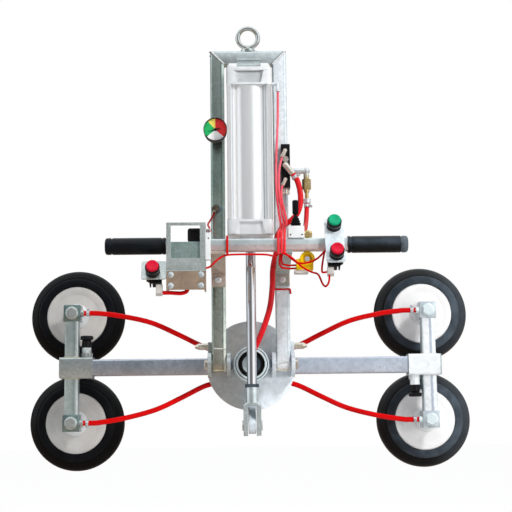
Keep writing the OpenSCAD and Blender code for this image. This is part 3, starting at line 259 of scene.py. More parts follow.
# %% A helper for surfaces
def surface(name, colour, rough, metal, **more):
    """A plain material, its tree of nodes and its shader."""
    made = bpy.data.materials.new(name)
    made.use_nodes = True
    shader = made.node_tree.nodes["Principled BSDF"]
    shader.inputs["Base Color"].default_value = (*colour, 1)
    shader.inputs["Roughness"].default_value = rough
    shader.inputs["Metallic"].default_value = metal
    for socket, value in more.items():
        shader.inputs[socket.replace("_", " ")].default_value = value
    return made, made.node_tree, shader


def pattern(tree, kind, sized, **inputs):
    """A noise or crystal texture over the sized place."""
    node = tree.nodes.new(kind)
    for socket, value in inputs.items():
        node.inputs[socket].default_value = value
    join(tree, (sized, 0, node, "Vector"))
    return node


def multiplied(tree, colour, factor):
    """A colour toned by another one."""
    mix = tree.nodes.new("ShaderNodeMix")
    mix.data_type = "RGBA"
    mix.blend_type = "MULTIPLY"
    mix.inputs["Factor"].default_value = 1.0
    tree.links.new(colour, mix.inputs[6])
    tree.links.new(factor, mix.inputs[7])
    return mix.outputs[2]


def share_along(tree, place, axis, start, end):
    """A node that goes from 0 to 1 between two places along an axis, in metres."""
    split = tree.nodes.new("ShaderNodeSeparateXYZ")
    share = add_node(tree, "ShaderNodeMapRange", i1=start, i2=end)
    join(tree, (place, "Object", split, 0), (split, axis, share, 0))
    return share


def mottled(name, dark, light, rough, metal, scale, relief=0.0, fine=400.0, stretch=(1, 1, 1),
            rough_spread=0.08, cells=0.0, drift=None, bands=(), **more):
    """A surface whose colour varies between two tones, with fine relief and optional crystals.

    A drift is (axis, from, to, metal there): along that axis of the lifter, in metres, the metal
    goes from mirror-like, which shows dark, to matt, which shows pale: painted shade giving way to
    painted light. Each of the bands is (axis, from, to, stops): along that axis the colour is toned
    by a ramp of (position, colour) stops, which paints light and shade.
    """
    made, tree, shader = surface(name, light, rough, metal, **more)
    place = add_node(tree, "ShaderNodeTexCoord")
    sized = add_node(tree, "ShaderNodeMapping")
    sized.inputs["Scale"].default_value = stretch
    clouds = pattern(tree, "ShaderNodeTexNoise", sized, Scale=scale, Detail=5)
    tones = ramp_node(tree, [(0.32, dark), (0.68, light)])
    spread = add_node(tree, "ShaderNodeMapRange", i3=max(rough - rough_spread, 0.02),
                      i4=rough + rough_spread)
    join(tree, (place, "Object", sized, "Vector"), (clouds, "Fac", tones, "Fac"),
         (clouds, "Fac", spread, 0), (spread, 0, shader, "Roughness"))
    colour = tones.outputs["Color"]
    if cells:
        crystals = pattern(tree, "ShaderNodeTexVoronoi", sized, Scale=cells)
        tone = add_node(tree, "ShaderNodeRGBToBW")
        shine = add_node(tree, "ShaderNodeMapRange", i3=0.86, i4=1.1)
        join(tree, (crystals, "Color", tone, 0), (tone, 0, shine, 0))
        colour = multiplied(tree, colour, shine.outputs[0])
    for axis, start, end, stops in bands:
        toning = ramp_node(tree, stops)
        join(tree, (share_along(tree, place, axis, start, end), 0, toning, "Fac"))
        colour = multiplied(tree, colour, toning.outputs["Color"])
    tree.links.new(colour, shader.inputs["Base Color"])
    if drift:
        axis, start, end, metal_there = drift
        fade = share_along(tree, place, axis, start, end)
        fade.interpolation_type = "SMOOTHSTEP"
        fade.inputs["To Min"].default_value = metal
        fade.inputs["To Max"].default_value = metal_there
        join(tree, (fade, 0, shader, "Metallic"))
    if relief:
        grain = pattern(tree, "ShaderNodeTexNoise", sized, Scale=fine, Detail=3)
        bump = tree.nodes.new("ShaderNodeBump")
        bump.inputs["Strength"].default_value = relief
        bump.inputs["Distance"].default_value = 0.0004
        join(tree, (grain, "Fac", bump, "Height"), (bump, 0, shader, "Normal"))
    return made


print("helpers ready")

# %% [markdown]
# ### Metals
#
# Hot-dip galvanised steel has faint crystals of zinc. Where it is still bright it mirrors the dim
# room and looks dark, with white edges. Where it has gone dull it is pale. On this lifter the left
# side is given bright zinc and darker tones, as painted shade, and the right side dull, paler zinc,
# as painted light, and the wide pieces change from one to the other.

# %% Metals
ZINC = ((0.6, 0.66, 0.65), (0.8, 0.87, 0.85))
PALE = ((0.76, 0.8, 0.84), (0.88, 0.92, 0.95))
SHADE = ((0.5, 0.56, 0.57), (0.66, 0.73, 0.74))
WHITE = (1.0, 1.0, 1.0)
DIM = (0.5, 0.56, 0.56)
GROOVE_SHADE = (0.62, 0.65, 0.69)
MAST = (rise_of(-20), rise_of(680))


def zinc(name, dark, light, rough, metal, scale, relief, cells=150, **more):
    """Galvanised steel, with crystals."""
    return mottled(name, dark, light, rough, metal, scale, relief, 500, cells=cells, **more)


# The left leg: darker, mirror-like zinc as painted shade, a pale matt strip at its right edge as
# painted light, painted dark lines along its corners, and a ramp up the leg that paints a warm
# floor reflection at the foot and a cooler shade above the middle.
zinc_left_leg_shaded = zinc(
    "galvanised_left_leg_shaded", (0.56, 0.66, 0.62), (0.78, 0.88, 0.84), 0.26, 0.95, 14, 0.16, 160,
    drift=("X", -0.0585, -0.0575, 0.1),
    bands=[("Z", *MAST, [(0.0, (1, 0.84, 0.75)), (0.1, (1, 0.97, 0.92)), (0.6, (0.86, 0.98, 0.93)),
                         (1.0, WHITE)]),
           ("X", -0.081, -0.051, [(0.0, DIM), (0.06, WHITE), (0.66, WHITE), (0.72, DIM),
                                  (0.8, WHITE), (0.95, WHITE), (1.0, DIM)])])
zinc_mid = zinc("galvanised", *ZINC, 0.27, 0.78, 13, 0.16)
# Pale, matt zinc for the lit pieces: painted light, a little darker and cooler low down as painted
# shade.
zinc_lit = zinc(
    "galvanised_lit", *PALE, 0.28, 0.26, 12, 0.14, 140,
    bands=[("Z", *MAST, [(0.0, (0.95, 0.98, 1)), (0.35, (0.93, 0.98, 1)), (0.6, WHITE)])])
# The right leg: pale, matt zinc as painted light, painted dark lines along its corners, and a ramp
# up the leg that paints a warm floor reflection at the foot and a little shade from the middle up.
zinc_right_leg = zinc(
    "galvanised_right_leg", (0.84, 0.89, 0.93), (0.94, 0.98, 1), 0.28, 0.26, 12, 0.14, 140,
    bands=[("Z", *MAST, [(0.0, (1, 0.94, 0.92)), (0.06, WHITE), (0.35, (0.97, 0.99, 1)),
                         (0.6, (0.92, 0.93, 0.94))]),
           ("X", 0.051, 0.081, [(0.0, (0.8, 0.86, 0.88)), (0.08, DIM), (0.15, WHITE), (0.8, WHITE),
                                (0.85, (0.66, 0.73, 0.75)), (0.9, WHITE),
                                (1.0, (0.8, 0.86, 0.88))])])
# The arm and the mast head turn from mirror-like on the left to matt on the right, so they read
# dark on the left and pale on the right: painted shade and painted light.
zinc_arm = zinc("galvanised_arm", (0.62, 0.7, 0.82), (0.78, 0.86, 0.99), 0.26, 0.93, 12, 0.16, 140,
                drift=("X", -0.1, 0.15, 0.55))
zinc_head = zinc("galvanised_head", (0.6, 0.68, 0.7), (0.8, 0.88, 0.9), 0.26, 0.93, 12, 0.16, 140,
                 drift=("X", -0.1, 0.12, 0.6))
# The handlebar turns more matt to the right as painted light, and its lower half is toned pink as a
# painted reflection of the warm floor.
zinc_bar = zinc(
    "galvanised_bar", (0.66, 0.7, 0.72), (0.82, 0.86, 0.88), 0.24, 0.62, 12, 0.14, 140,
    drift=("X", -0.05, 0.15, 0.45),
    bands=[("Z", rise_of(BAR_Z - 4), rise_of(BAR_Z + 4),
            [(0.0, (1, 0.8, 0.77)), (0.35, (1, 0.8, 0.77)), (0.6, (0.93, 1, 1))])])
# The tilt plate turns from mirror-like on the left to matt on the right: painted shade giving way
# to painted light.
zinc_plate = zinc("galvanised_plate", (0.84, 0.9, 0.94), (0.96, 0.99, 1), 0.3, 0.92, 12, 0.12, 110,
                  drift=("X", -0.02, 0.045, 0.0))
# The right sleeve: pale, matt zinc as painted light, with painted dark lines at both ends.
zinc_sleeve = zinc(
    "galvanised_sleeve", (0.84, 0.88, 0.9), (0.93, 0.96, 0.97), 0.3, 0.12, 12, 0.1, 120,
    bands=[("X", 0.339, 0.41, [(0.0, DIM), (0.025, WHITE), (0.96, WHITE), (0.985, DIM)])])
# Painted dark lines down both sides of the fork.
zinc_fork = zinc(
    "galvanised_fork", (0.68, 0.78, 0.8), (0.88, 0.98, 1.0), 0.22, 0.72, 30, 0.1,
    bands=[("X", -0.022, 0.022, [(0.0, DIM), (0.08, WHITE), (0.92, WHITE), (1.0, DIM)])])
# A warm brown copy of the zinc for the left bracket: a painted reflection of the warm floor.
zinc_warm = zinc("galvanised_warm", (0.62, 0.52, 0.44), (0.86, 0.72, 0.62), 0.3, 0.72, 30, 0.16)
# The housing sheet is toned warm below its fold, where its lower face looks down: a painted
# reflection of the warm floor.
zinc_sheet = zinc(
    "galvanised_sheet", (0.6, 0.68, 0.66), (0.8, 0.88, 0.86), 0.27, 0.74, 20, 0.14,
    bands=[("Z", rise_of(174), rise_of(182),
            [(0.0, (1, 0.66, 0.5)), (0.4, (1, 0.66, 0.5)), (0.6, WHITE)])])
zinc_shelf = zinc("galvanised_shelf", (0.4, 0.56, 0.53), (0.6, 0.78, 0.74), 0.27, 0.8, 20, 0.14)
zinc_corner = mottled("galvanised_corner", (0.5, 0.64, 0.66), (0.66, 0.8, 0.82), 0.3, 0.5, 60, 0.1,
                      600)
forged = mottled("forged_zinc", (0.62, 0.68, 0.66), (0.84, 0.88, 0.87), 0.2, 0.98, 40, 0.05, 700)
# Dark zinc for the left pad blocks as painted shade, and a paler copy for the right ones as painted
# light.
zinc_block_shaded = zinc("galvanised_block", (0.24, 0.36, 0.36), (0.4, 0.54, 0.53), 0.24, 0.9, 40, 0.12)
zinc_block_lit = zinc("galvanised_block_lit", (0.5, 0.57, 0.61), (0.64, 0.71, 0.76), 0.26, 0.3, 30,
                   0.12)
zinc_shade = zinc("galvanised_shade", *SHADE, 0.26, 0.7, 30, 0.12)
# The tongue under the cross tube: shaded tones as painted shade, and a dark stripe as a painted
# shadow line.
zinc_tongue = zinc(
    "galvanised_tongue", *SHADE, 0.26, 0.7, 30, 0.12,
    bands=[("Z", rise_of(631), rise_of(651),
            [(0.0, WHITE), (0.5, WHITE), (0.55, (0.34, 0.4, 0.42)), (0.63, (0.34, 0.4, 0.42)),
             (0.7, WHITE)])])
weld_zinc = mottled("weld_bead", (0.8, 0.82, 0.8), (0.96, 0.97, 0.95), 0.24, 0.5, 220, 0.5, 900)
weld_straw = mottled("weld_straw", (0.7, 0.62, 0.4), (0.86, 0.8, 0.6), 0.26, 0.6, 200, 0.5, 900)
hub_zinc = mottled("hub_ring_zinc", (0.72, 0.84, 0.87), (0.88, 0.98, 1), 0.24, 0.3, 40, 0.08, 600)
# The bearing cover's inner disc: bright on the left and dark on the right, a painted reflection.
hub_cup = mottled(
    "hub_cup_zinc", (0.7, 0.8, 0.82), (0.86, 0.96, 0.98), 0.24, 0.4, 40, 0.08, 600,
    bands=[("X", -0.02, 0.02, [(0.0, (0.3, 0.36, 0.4)), (0.12, WHITE), (0.32, WHITE),
                               (0.5, (0.1, 0.13, 0.16)), (1.0, (0.06, 0.07, 0.09))])])
plated = mottled("zinc_plated", (0.74, 0.79, 0.83), (0.9, 0.94, 0.98), 0.18, 0.68, 60, 0.06, 700)
blue_zinc = mottled("blue_zinc_nut", (0.13, 0.17, 0.22), (0.26, 0.33, 0.4), 0.22, 0.85, 80, 0.06,
                    700)
nickel = mottled("nickel_plated", (0.8, 0.74, 0.64), (0.96, 0.91, 0.82), 0.18, 0.8, 70, 0.05, 600)
# The barrel: painted shade in the grooves beside its corner ribs, and darker, warmer edges at both
# sides as painted shade.
alloy = mottled(
    "anodised_alloy", (0.95, 0.97, 0.98), (1, 1, 1), 0.22, 0.6, 30, 0.05, 900, (1, 1, 0.05),
    bands=[("X", -0.0475, 0.0475,
            [(0.0, (0.84, 0.8, 0.77)), (0.04, WHITE), (0.105, WHITE), (0.12, GROOVE_SHADE), (0.135, GROOVE_SHADE),
             (0.15, WHITE), (0.79, WHITE), (0.8, GROOVE_SHADE), (0.81, GROOVE_SHADE), (0.82, WHITE),
             (0.845, WHITE), (0.855, GROOVE_SHADE), (0.865, GROOVE_SHADE), (0.88, WHITE), (0.96, WHITE),
             (1.0, (0.74, 0.67, 0.64))])])
alloy_cast = mottled("cast_alloy_cap", (0.77, 0.79, 0.8), (0.88, 0.9, 0.91), 0.34, 0.25, 45, 0.12,
                     1200)
# Darker alloy for the upper cap's recess as painted shade, with a dark band at its top as a painted
# shadow.
alloy_deep = mottled(
    "cast_alloy_recess", (0.52, 0.545, 0.56), (0.62, 0.645, 0.66), 0.4, 0.25, 45, 0.12, 1200,
    bands=[("Z", rise_of(600), rise_of(611),
            [(0.0, WHITE), (0.5, WHITE), (0.68, (0.2, 0.19, 0.21)), (1.0, (0.2, 0.19, 0.21))])])
# The rod darkens towards its left side: a painted reflection.
chrome = mottled(
    "hard_chrome", (0.84, 0.84, 0.86), (0.95, 0.95, 0.96), 0.07, 1.0, 90, 0.02, 900, (1, 1, 0.2),
    0.02, bands=[("X", -0.01, 0.01, [(0.0, (0.4, 0.41, 0.43)), (0.12, (0.62, 0.64, 0.66)),
                                     (0.3, (0.74, 0.76, 0.78)), (0.42, (0.86, 0.84, 0.88)),
                                     (0.6, WHITE)])])
brass_dull = mottled("brass_dull", (0.2, 0.17, 0.12), (0.42, 0.37, 0.28), 0.26, 0.8, 90, 0.1, 600)
brass = mottled("brass", (0.6, 0.43, 0.15), (0.88, 0.7, 0.34), 0.24, 0.8, 60, 0.08, 600)


def post_metal(name, side, dark, light, metal, stops):
    """Bent tube mirrors the room in upright stripes, so its colour runs in bands across."""
    middle = side * POST_X / 1000
    return zinc(name, dark, light, 0.24, metal, 14, 0.14,
                bands=[("X", middle - 0.0155, middle + 0.0155, stops)])


# The left post takes darker tones than the right: painted shade on the left, painted light on the
# right.
post_left = post_metal("post_left", -1, (0.6, 0.66, 0.65), (0.76, 0.8, 0.79), 0.45,
                       [(0.0, DIM), (0.08, (0.82, 0.85, 0.83)), (0.5, (0.7, 0.75, 0.73)),
                        (0.72, DIM), (0.8, WHITE), (0.93, WHITE), (1.0, DIM)])
post_right = post_metal("post_right", 1, (0.86, 0.89, 0.91), (0.95, 0.97, 0.98), 0.2,
                        [(0.0, DIM), (0.07, (0.75, 0.83, 0.85)), (0.16, WHITE), (0.5, WHITE),
                         (0.56, (0.52, 0.57, 0.66)), (0.68, (0.52, 0.57, 0.66)), (0.74, WHITE),
                         (0.94, (0.9, 0.95, 0.96)), (1.0, DIM)])
print("metals made")

# %% [markdown]
# ### Rubber, plastic and enamel
#
# The pads are black rubber: deep black and glossy on the left, and on the right given grey tones
# that pale to the right, as painted light where the window lights them. The hoses are smooth red
# polyurethane. The pad plates are stove enamelled in white, given darker tones on the left as
# painted shade.

# %% Rubber, plastic and enamel
DULL = {"Specular_IOR_Level": 0.28}
MATT = {"Specular_IOR_Level": 0.12}
SATIN = {"Specular_IOR_Level": 0.14}
SHEEN = {"Specular_IOR_Level": 0.5}
PAD = (0.281, 0.491)
rubber = mottled("pad_rubber", (0.0015, 0.0018, 0.0022), (0.003, 0.0034, 0.004), 0.4, 0, 26, 0.3,
                 1500, **SATIN)
# The right pads: greyer rubber that pales across each pad to the right: painted light.
rubber_right = mottled(
    "pad_rubber_lit", (0.022, 0.028, 0.034), (0.04, 0.05, 0.06), 0.34, 0, 26, 0.3, 1500,
    bands=[("X", *PAD, [(0.0, (0.05, 0.05, 0.06)), (0.55, (0.12, 0.12, 0.13)),
                        (0.8, (0.7, 0.7, 0.7)), (0.9, WHITE)])], **DULL)
rubber_face = mottled("pad_rubber_shoulder", (0.003, 0.0035, 0.005), (0.006, 0.007, 0.009), 0.42, 0,
                      40, 0.35, 1500, **SATIN)
# The right pads' shoulders: grey rubber that pales to the right: painted light.
rubber_shoulder_lit = mottled(
    "pad_rubber_shoulder_lit", (0.036, 0.048, 0.06), (0.08, 0.1, 0.125), 0.42, 0, 40, 0.35, 1500,
    bands=[("X", *PAD, [(0.0, (0.2, 0.22, 0.24)), (0.2, (0.35, 0.37, 0.4)),
                        (0.5, (0.6, 0.62, 0.64)), (0.8, WHITE)])], **DULL)
grip_foam = mottled("grip_rubber", (0.001, 0.003, 0.005), (0.002, 0.005, 0.008), 0.34, 0, 60, 0.4,
                    2200, **DULL)
# The right grip: greyer rubber as painted light, with a ramp across it that paints a sheen along
# its upper middle and shade at its top and bottom.
grip_lit = mottled(
    "grip_rubber_lit", (0.016, 0.023, 0.03), (0.036, 0.048, 0.062), 0.34, 0, 60, 0.4, 2200,
    bands=[("Z", rise_of(BAR_Z - 15), rise_of(BAR_Z + 15),
            [(0.0, (0.1, 0.1, 0.1)), (0.3, (0.25, 0.25, 0.25)), (0.6, WHITE), (0.75, WHITE),
             (1.0, (0.2, 0.2, 0.2))])], **DULL)
# A greyer rim for the right grip's outer end: a painted highlight.
grip_rim = mottled("grip_rubber_rim", (0.05, 0.066, 0.08), (0.1, 0.125, 0.15), 0.34, 0, 60, 0.3,
                   2200, **SHEEN)
black = mottled("black_moulding", (0.004, 0.004, 0.005), (0.009, 0.009, 0.01), 0.3, 0, 50, 0.12,
                1800, **DULL)
enamel = mottled("white_enamel", (0.8, 0.79, 0.78), (0.88, 0.875, 0.865), 0.36, 0, 18, 0.08, 700)
# Darker enamel for the left pad plates: painted shade.
enamel_shaded = mottled("white_enamel_shaded", (0.55, 0.53, 0.5), (0.66, 0.64, 0.61), 0.4, 0, 18, 0.1,
                      700)
white_plastic = mottled("white_moulding", (0.72, 0.73, 0.73), (0.8, 0.81, 0.81), 0.4, 0, 40, 0.1,
                        1500)
hose_red = mottled("hose_red", (0.54, 0.0008, 0.0014), (0.68, 0.0012, 0.0022), 0.34, 0, 25, 0.06,
                   300, **MATT)
hose_deep = mottled("hose_deep_red", (0.62, 0.0008, 0.0012), (0.78, 0.0012, 0.002), 0.36, 0, 25,
                    0.08, 300, **MATT)
hose_gloss = mottled("hose_gloss_red", (0.6, 0.002, 0.006), (0.74, 0.004, 0.012), 0.2, 0, 25, 0.05,
                     300, **SHEEN)
tube_pink = mottled(
    "tube_pale_red", (0.8, 0.1, 0.14), (0.92, 0.16, 0.21), 0.3, 0, 25, 0.06, 300,
    bands=[("Z", rise_of(260), rise_of(400), [(0.0, (1, 0.25, 0.25)), (1.0, WHITE)])], **DULL)
cap_red = mottled("cap_red", (0.58, 0.002, 0.022), (0.7, 0.004, 0.034), 0.3, 0, 80, 0.05, 900,
                  **DULL)
cap_green = mottled("cap_green", (0.002, 0.3, 0.14), (0.004, 0.4, 0.19), 0.3, 0, 80, 0.05, 900,
                    **DULL)
beige = mottled("beige_moulding", (0.46, 0.43, 0.4), (0.6, 0.56, 0.52), 0.4, 0, 60, 0.1, 1200)
yellow = mottled("yellow_moulding", (0.8, 0.5, 0.002), (0.92, 0.62, 0.004), 0.34, 0, 60, 0.08, 900,
                 **DULL)
brown_patch = mottled("brown_print", (0.08, 0.03, 0.03), (0.12, 0.05, 0.045), 0.5, 0, 90)
print("rubber, plastic and enamel made")

# %% Gauge glass and print
glass = surface("gauge_glass", (1, 1, 1), 0.03, 0, Transmission_Weight=1.0, IOR=1.15,
                Alpha=0.25)[0]
printed = [mottled("dial_white", (0.94, 0.94, 0.95), (1, 1, 1), 0.45, 0, 60),
           mottled("dial_green", (0.005, 0.42, 0.11), (0.008, 0.5, 0.14), 0.45, 0, 60),
           mottled("dial_yellow", (1, 0.78, 0.1), (1, 0.86, 0.16), 0.45, 0, 60),
           mottled("dial_red", (0.95, 0.012, 0.016), (1, 0.02, 0.024), 0.45, 0, 60),
           mottled("dial_black", (0.01, 0.01, 0.01), (0.02, 0.02, 0.02), 0.5, 0, 60)]
print("gauge finishes", len(printed) + 1)

# %% [markdown]
# ## Ways of making pieces
#
# Most of the lifter is cut, bent or turned metal that the CAD model already has in its true shape.
# Such a node is copied, its loose triangles are merged, and a fine bevel breaks its edges, because
# real edges catch the light. Round pieces are spun from a profile, and hoses run along a curve.

# %% Shared helpers
def finish_piece(name, mesh, body, finishes, stands_for=(), edge=0.0, smooth=32):
    """The mesh as a piece of the lifter, with sharp creases and, where edge is given, a bevel."""
    for finish in finishes:
        mesh.materials.append(finish)
    for face in mesh.polygons:
        face.use_smooth = True
    mesh.set_sharp_from_angle(angle=math.radians(smooth))
    piece = bpy.data.objects.new(name, mesh)
    bpy.context.scene.collection.objects.link(piece)
    if body:
        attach(piece, body)
    if stands_for:
        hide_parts(*stands_for)
    if edge:
        bevel = piece.modifiers.new("edge", "BEVEL")
        bevel.width = edge
        bevel.segments = 2
        bevel.limit_method = "ANGLE"
        bevel.angle_limit = math.radians(38)
        bevel.harden_normals = True
    return piece


def worked(node, finish, edge, smooth=32, pick=None):
    """A copy of a CAD node with merged triangles and broken edges.

    The edges are broken by the width edge, in metres. With several finishes, pick gives the
    finish's number for a place in millimetres from the axis.
    """
    shape = bmesh.new()
    shape.from_mesh(frame["nodes"][node].data)
    bmesh.ops.remove_doubles(shape, verts=shape.verts, dist=1e-6)
    bmesh.ops.dissolve_limit(shape, angle_limit=math.radians(1), verts=shape.verts,
                             edges=shape.edges)
    for face in shape.faces:
        x, y, z = face.calc_center_median() * 1000
        face.material_index = pick(x, y, z + EYE_RISE) if pick else 0
    mesh = bpy.data.meshes.new(node + "_worked")
    shape.to_mesh(mesh)
    shape.free()
    if mesh.attributes.get("custom_normal"):
        mesh.attributes.remove(mesh.attributes["custom_normal"])
    finishes = finish if pick else [finish]
    return finish_piece(node + "_worked", mesh, BODY_OF[node], finishes, (node,), edge,
                        smooth)


def gathered(name, body, finishes, shapes, stands_for=(), smooth=32):
    """One piece from several small shapes."""
    whole = bmesh.new()
    for shape in shapes:
        part = bpy.data.meshes.new("part")
        shape.to_mesh(part)
        shape.free()
        whole.from_mesh(part)
        bpy.data.meshes.remove(part)
    mesh = bpy.data.meshes.new(name)
    whole.to_mesh(mesh)
    whole.free()
    return finish_piece(name, mesh, body, finishes, stands_for, smooth=smooth)


def stood(shape, place, axis, tint):
    """The shape with one finish, moved to its place with its height along an axis."""
    for face in shape.faces:
        face.material_index = tint
    stand = Vector(axis).to_track_quat("Z", "Y").to_matrix().to_4x4()
    stand.translation = place
    bmesh.ops.transform(shape, matrix=stand, verts=shape.verts)
    return shape


def turned(profile, place, axis=(0, 0, 1), steps=64, tint=0):
    """A shape spun from (radius, height) pairs in millimetres, standing at a place."""
    shape = bmesh.new()
    ring = [shape.verts.new((r / 1000, 0, h / 1000)) for r, h in profile]
    edges = [shape.edges.new(pair) for pair in zip(ring, ring[1:])]
    bmesh.ops.spin(shape, geom=ring + edges, cent=(0, 0, 0), axis=(0, 0, 1), angle=2 * math.pi,
                   steps=steps, use_merge=True, use_duplicate=False)
    bmesh.ops.remove_doubles(shape, verts=shape.verts, dist=1e-7)
    bmesh.ops.recalc_face_normals(shape, faces=shape.faces)
    return stood(shape, place, axis, tint)


def block(low, high, tint=0, cut=0.0):
    """A box between two corners, with its edges cut back."""
    shape = bmesh.new()
    bmesh.ops.create_cube(shape, size=1)
    low, high = at(*low), at(*high)
    bmesh.ops.scale(shape, vec=high - low, verts=shape.verts)
    bmesh.ops.translate(shape, vec=(high + low) / 2, verts=shape.verts)
    if cut:
        bmesh.ops.bevel(shape, geom=list(shape.edges), offset=cut / 1000, segments=2, profile=0.5,
                        affect="EDGES", material=-1)
    for face in shape.faces:
        face.material_index = tint
    return shape


def hexagon(place, axis, across, height, tint=0, chamfer=0.9):
    """A hexagon nut or bolt head, across its flats, with its corners turned off."""
    r = across / math.sqrt(3)
    shape = bmesh.new()
    bmesh.ops.create_cone(shape, cap_ends=True, segments=6, radius1=r / 1000, radius2=r / 1000,
                          depth=height / 1000)
    bmesh.ops.translate(shape, vec=(0, 0, height / 2000), verts=shape.verts)
    rim = [e for e in shape.edges if all(v.co.z > height / 1000 - 1e-6 for v in e.verts)]
    bmesh.ops.bevel(shape, geom=rim, offset=chamfer / 1000, segments=1, profile=0.5,
                    affect="EDGES", material=-1)
    return stood(shape, place, axis, tint)


def smooth_route(points, steps=6):
    """The same rounded route that the hoses follow in the CAD model."""
    p = [Vector(q) for q in points]
    line = []
    for i in range(len(p) - 1):
        a, b, c, d = p[max(i - 1, 0)], p[i], p[i + 1], p[min(i + 2, len(p) - 1)]
        for s in range(steps):
            t = s / steps
            line.append(0.5 * (2 * b + (c - a) * t + (2 * a - 5 * b + 4 * c - d) * t * t
                               + (3 * b - a - 3 * c + d) * t ** 3))
    return line + [p[-1]]


def tube_mesh(name, line, diameter, sides=10):
    """A round tube along a line of places in the frame's metres."""
    data = bpy.data.curves.new(name, "CURVE")
    data.dimensions = "3D"
    data.bevel_depth = diameter / 2000
    data.bevel_resolution = sides // 2
    data.use_fill_caps = True
    run = data.splines.new("POLY")
    run.points.add(len(line) - 1)
    for point, place in zip(run.points, line):
        point.co = (*place, 1)
    holder = bpy.data.objects.new(name, data)
    bpy.context.scene.collection.objects.link(holder)
    bpy.context.view_layer.update()
    mesh = bpy.data.meshes.new_from_object(
        holder.evaluated_get(bpy.context.evaluated_depsgraph_get()))
    bpy.data.objects.remove(holder)
    mesh.name = name
    return mesh


def hose_piece(name, points, diameter, finish, body=None, stands_for=(), sides=12, steps=6):
    """A hose along its route. It rides on one body, or on none where it crosses a joint."""
    line = [at(*q) for q in smooth_route(points, steps)]
    mesh = tube_mesh(name, line, diameter, sides)
    return finish_piece(name, mesh, body, [finish], stands_for, smooth=60)


def loosened(mesh):
    """The mesh as a loose shape, to be gathered with others."""
    shape = bmesh.new()
    shape.from_mesh(mesh)
    bpy.data.meshes.remove(mesh)
    return shape


def tube_shape(points, diameter):
    return loosened(tube_mesh("tube", [at(*q) for q in smooth_route(points)], diameter))


print("helpers ready")

# %% [markdown]
# ## Mast and lifting eye
#
# The mast is two legs and a cross tube, mitred and welded. The weld shows as a bright, uneven bead
# along each mitre. The forged eye is spun: a circle swept round for the ring, and a collar below.

# %% Mast
worked("leg_left", zinc_left_leg_shaded, 0.0008)
worked("leg_right", zinc_right_leg, 0.0008)
# The tongue below the cross tube takes the shaded zinc with its painted shadow line.
worked("mast_head", [zinc_head, zinc_tongue], 0.0008,
       pick=lambda x, y, z: int(z < 652 and abs(x) < 40 and y < 14))


def bead(a, b, wide=3.2, tint=0, wave=0.35):
    """A weld bead: a tube whose rings swell and shrink a little, as the welder's hand moved."""
    a, b = Vector(a), Vector(b)
    count = max(int((b - a).length / 1.6), 4)
    line = [at(*(a.lerp(b, i / count))) for i in range(count + 1)]
    shape = loosened(tube_mesh("bead", line, wide, 8))
    start, along = at(*a), (at(*b) - at(*a)).normalized()
    for vert in shape.verts:
        s = (vert.co - start).dot(along)
        middle = start + along * s
        swell = 1 - wave / 2 + wave * (0.5 + 0.5 * math.sin(s * 1900 + 1.7 * math.sin(s * 310)))
        vert.co = middle + (vert.co - middle) * swell
    for face in shape.faces:
        face.material_index = tint
    return shape


mitres = []
for side in (-1, 1):
    for y, sunk in ((-15, -14.1), (15, 14.1)):
        mitres.append(bead((side * 80.5, y, 678), (side * 52.5, y, 650), 3.6))
        mitres.append(bead((side * 80.5 - 4, sunk, 678), (side * 52.5 - 3, sunk, 650.5), 2.2, 1))
foot_beads = [bead((-79, -15.2, 33.6), (-53, -15.2, 32), 3),
              bead((53, -15.4, 0), (78, -15.4, 6), 4.6, wave=0.6),
              bead((-79.5, -9.4, -12), (-52.5, -9.4, -12), 2.6, 1),
              bead((52.5, -9.4, -12), (79.5, -9.4, -12), 2.6, 1)]
gathered("mitre_welds", "mast", [weld_zinc, blue_zinc], mitres)
gathered("foot_welds", "mast", [weld_zinc, weld_straw], foot_beads)
print("mast done")

# %% Lifting eye
EYE_WIRE, EYE_RING = 0.005, 0.022
upright = Matrix.Rotation(math.pi / 2, 3, "X")
ring = bmesh.new()
bmesh.ops.create_circle(ring, segments=28, radius=EYE_WIRE)
bmesh.ops.translate(ring, vec=(EYE_RING, 0, 0), verts=ring.verts)
bmesh.ops.rotate(ring, cent=(0, 0, 0), matrix=upright, verts=ring.verts)
bmesh.ops.spin(ring, geom=ring.verts[:] + ring.edges[:], cent=(0, 0, 0), axis=(0, 0, 1),
               angle=2 * math.pi, steps=72, use_merge=True, use_duplicate=False)
bmesh.ops.remove_doubles(ring, verts=ring.verts, dist=1e-7)
bmesh.ops.recalc_face_normals(ring, faces=ring.faces)
bmesh.ops.rotate(ring, cent=(0, 0, 0), matrix=upright, verts=ring.verts)
neck = turned([(0, 0), (14.6, 0), (15, 0.6), (15, 5), (14.2, 6.2), (10, 7.6), (7.4, 9.4),
               (5.4, 11.4), (0, 12)], at(0, 0, 680))
stud = turned([(0, 0), (5.4, 0), (6, 0.8), (6, 12), (0, 12)], at(0, 0, 667))
nut = hexagon(at(0, 0, 677), (0, 0, -1), 18, 8)
gathered("eye_forged", "mast", [forged], [ring, neck, stud], ("lifting_eye",))
gathered("eye_nut", "mast", [plated], [nut])
print("eye done")

# %% [markdown]
# ## Cylinder, rod and fork
#
# The cylinder is an extruded tube between two die-cast caps. Its screws sit in the corners, a
# black wiper closes the gland, and the chromed rod runs down to a square fork with a pin and
# retaining rings.

# %% Cylinder
worked("cylinder_barrel", alloy, 0.0005, 20)
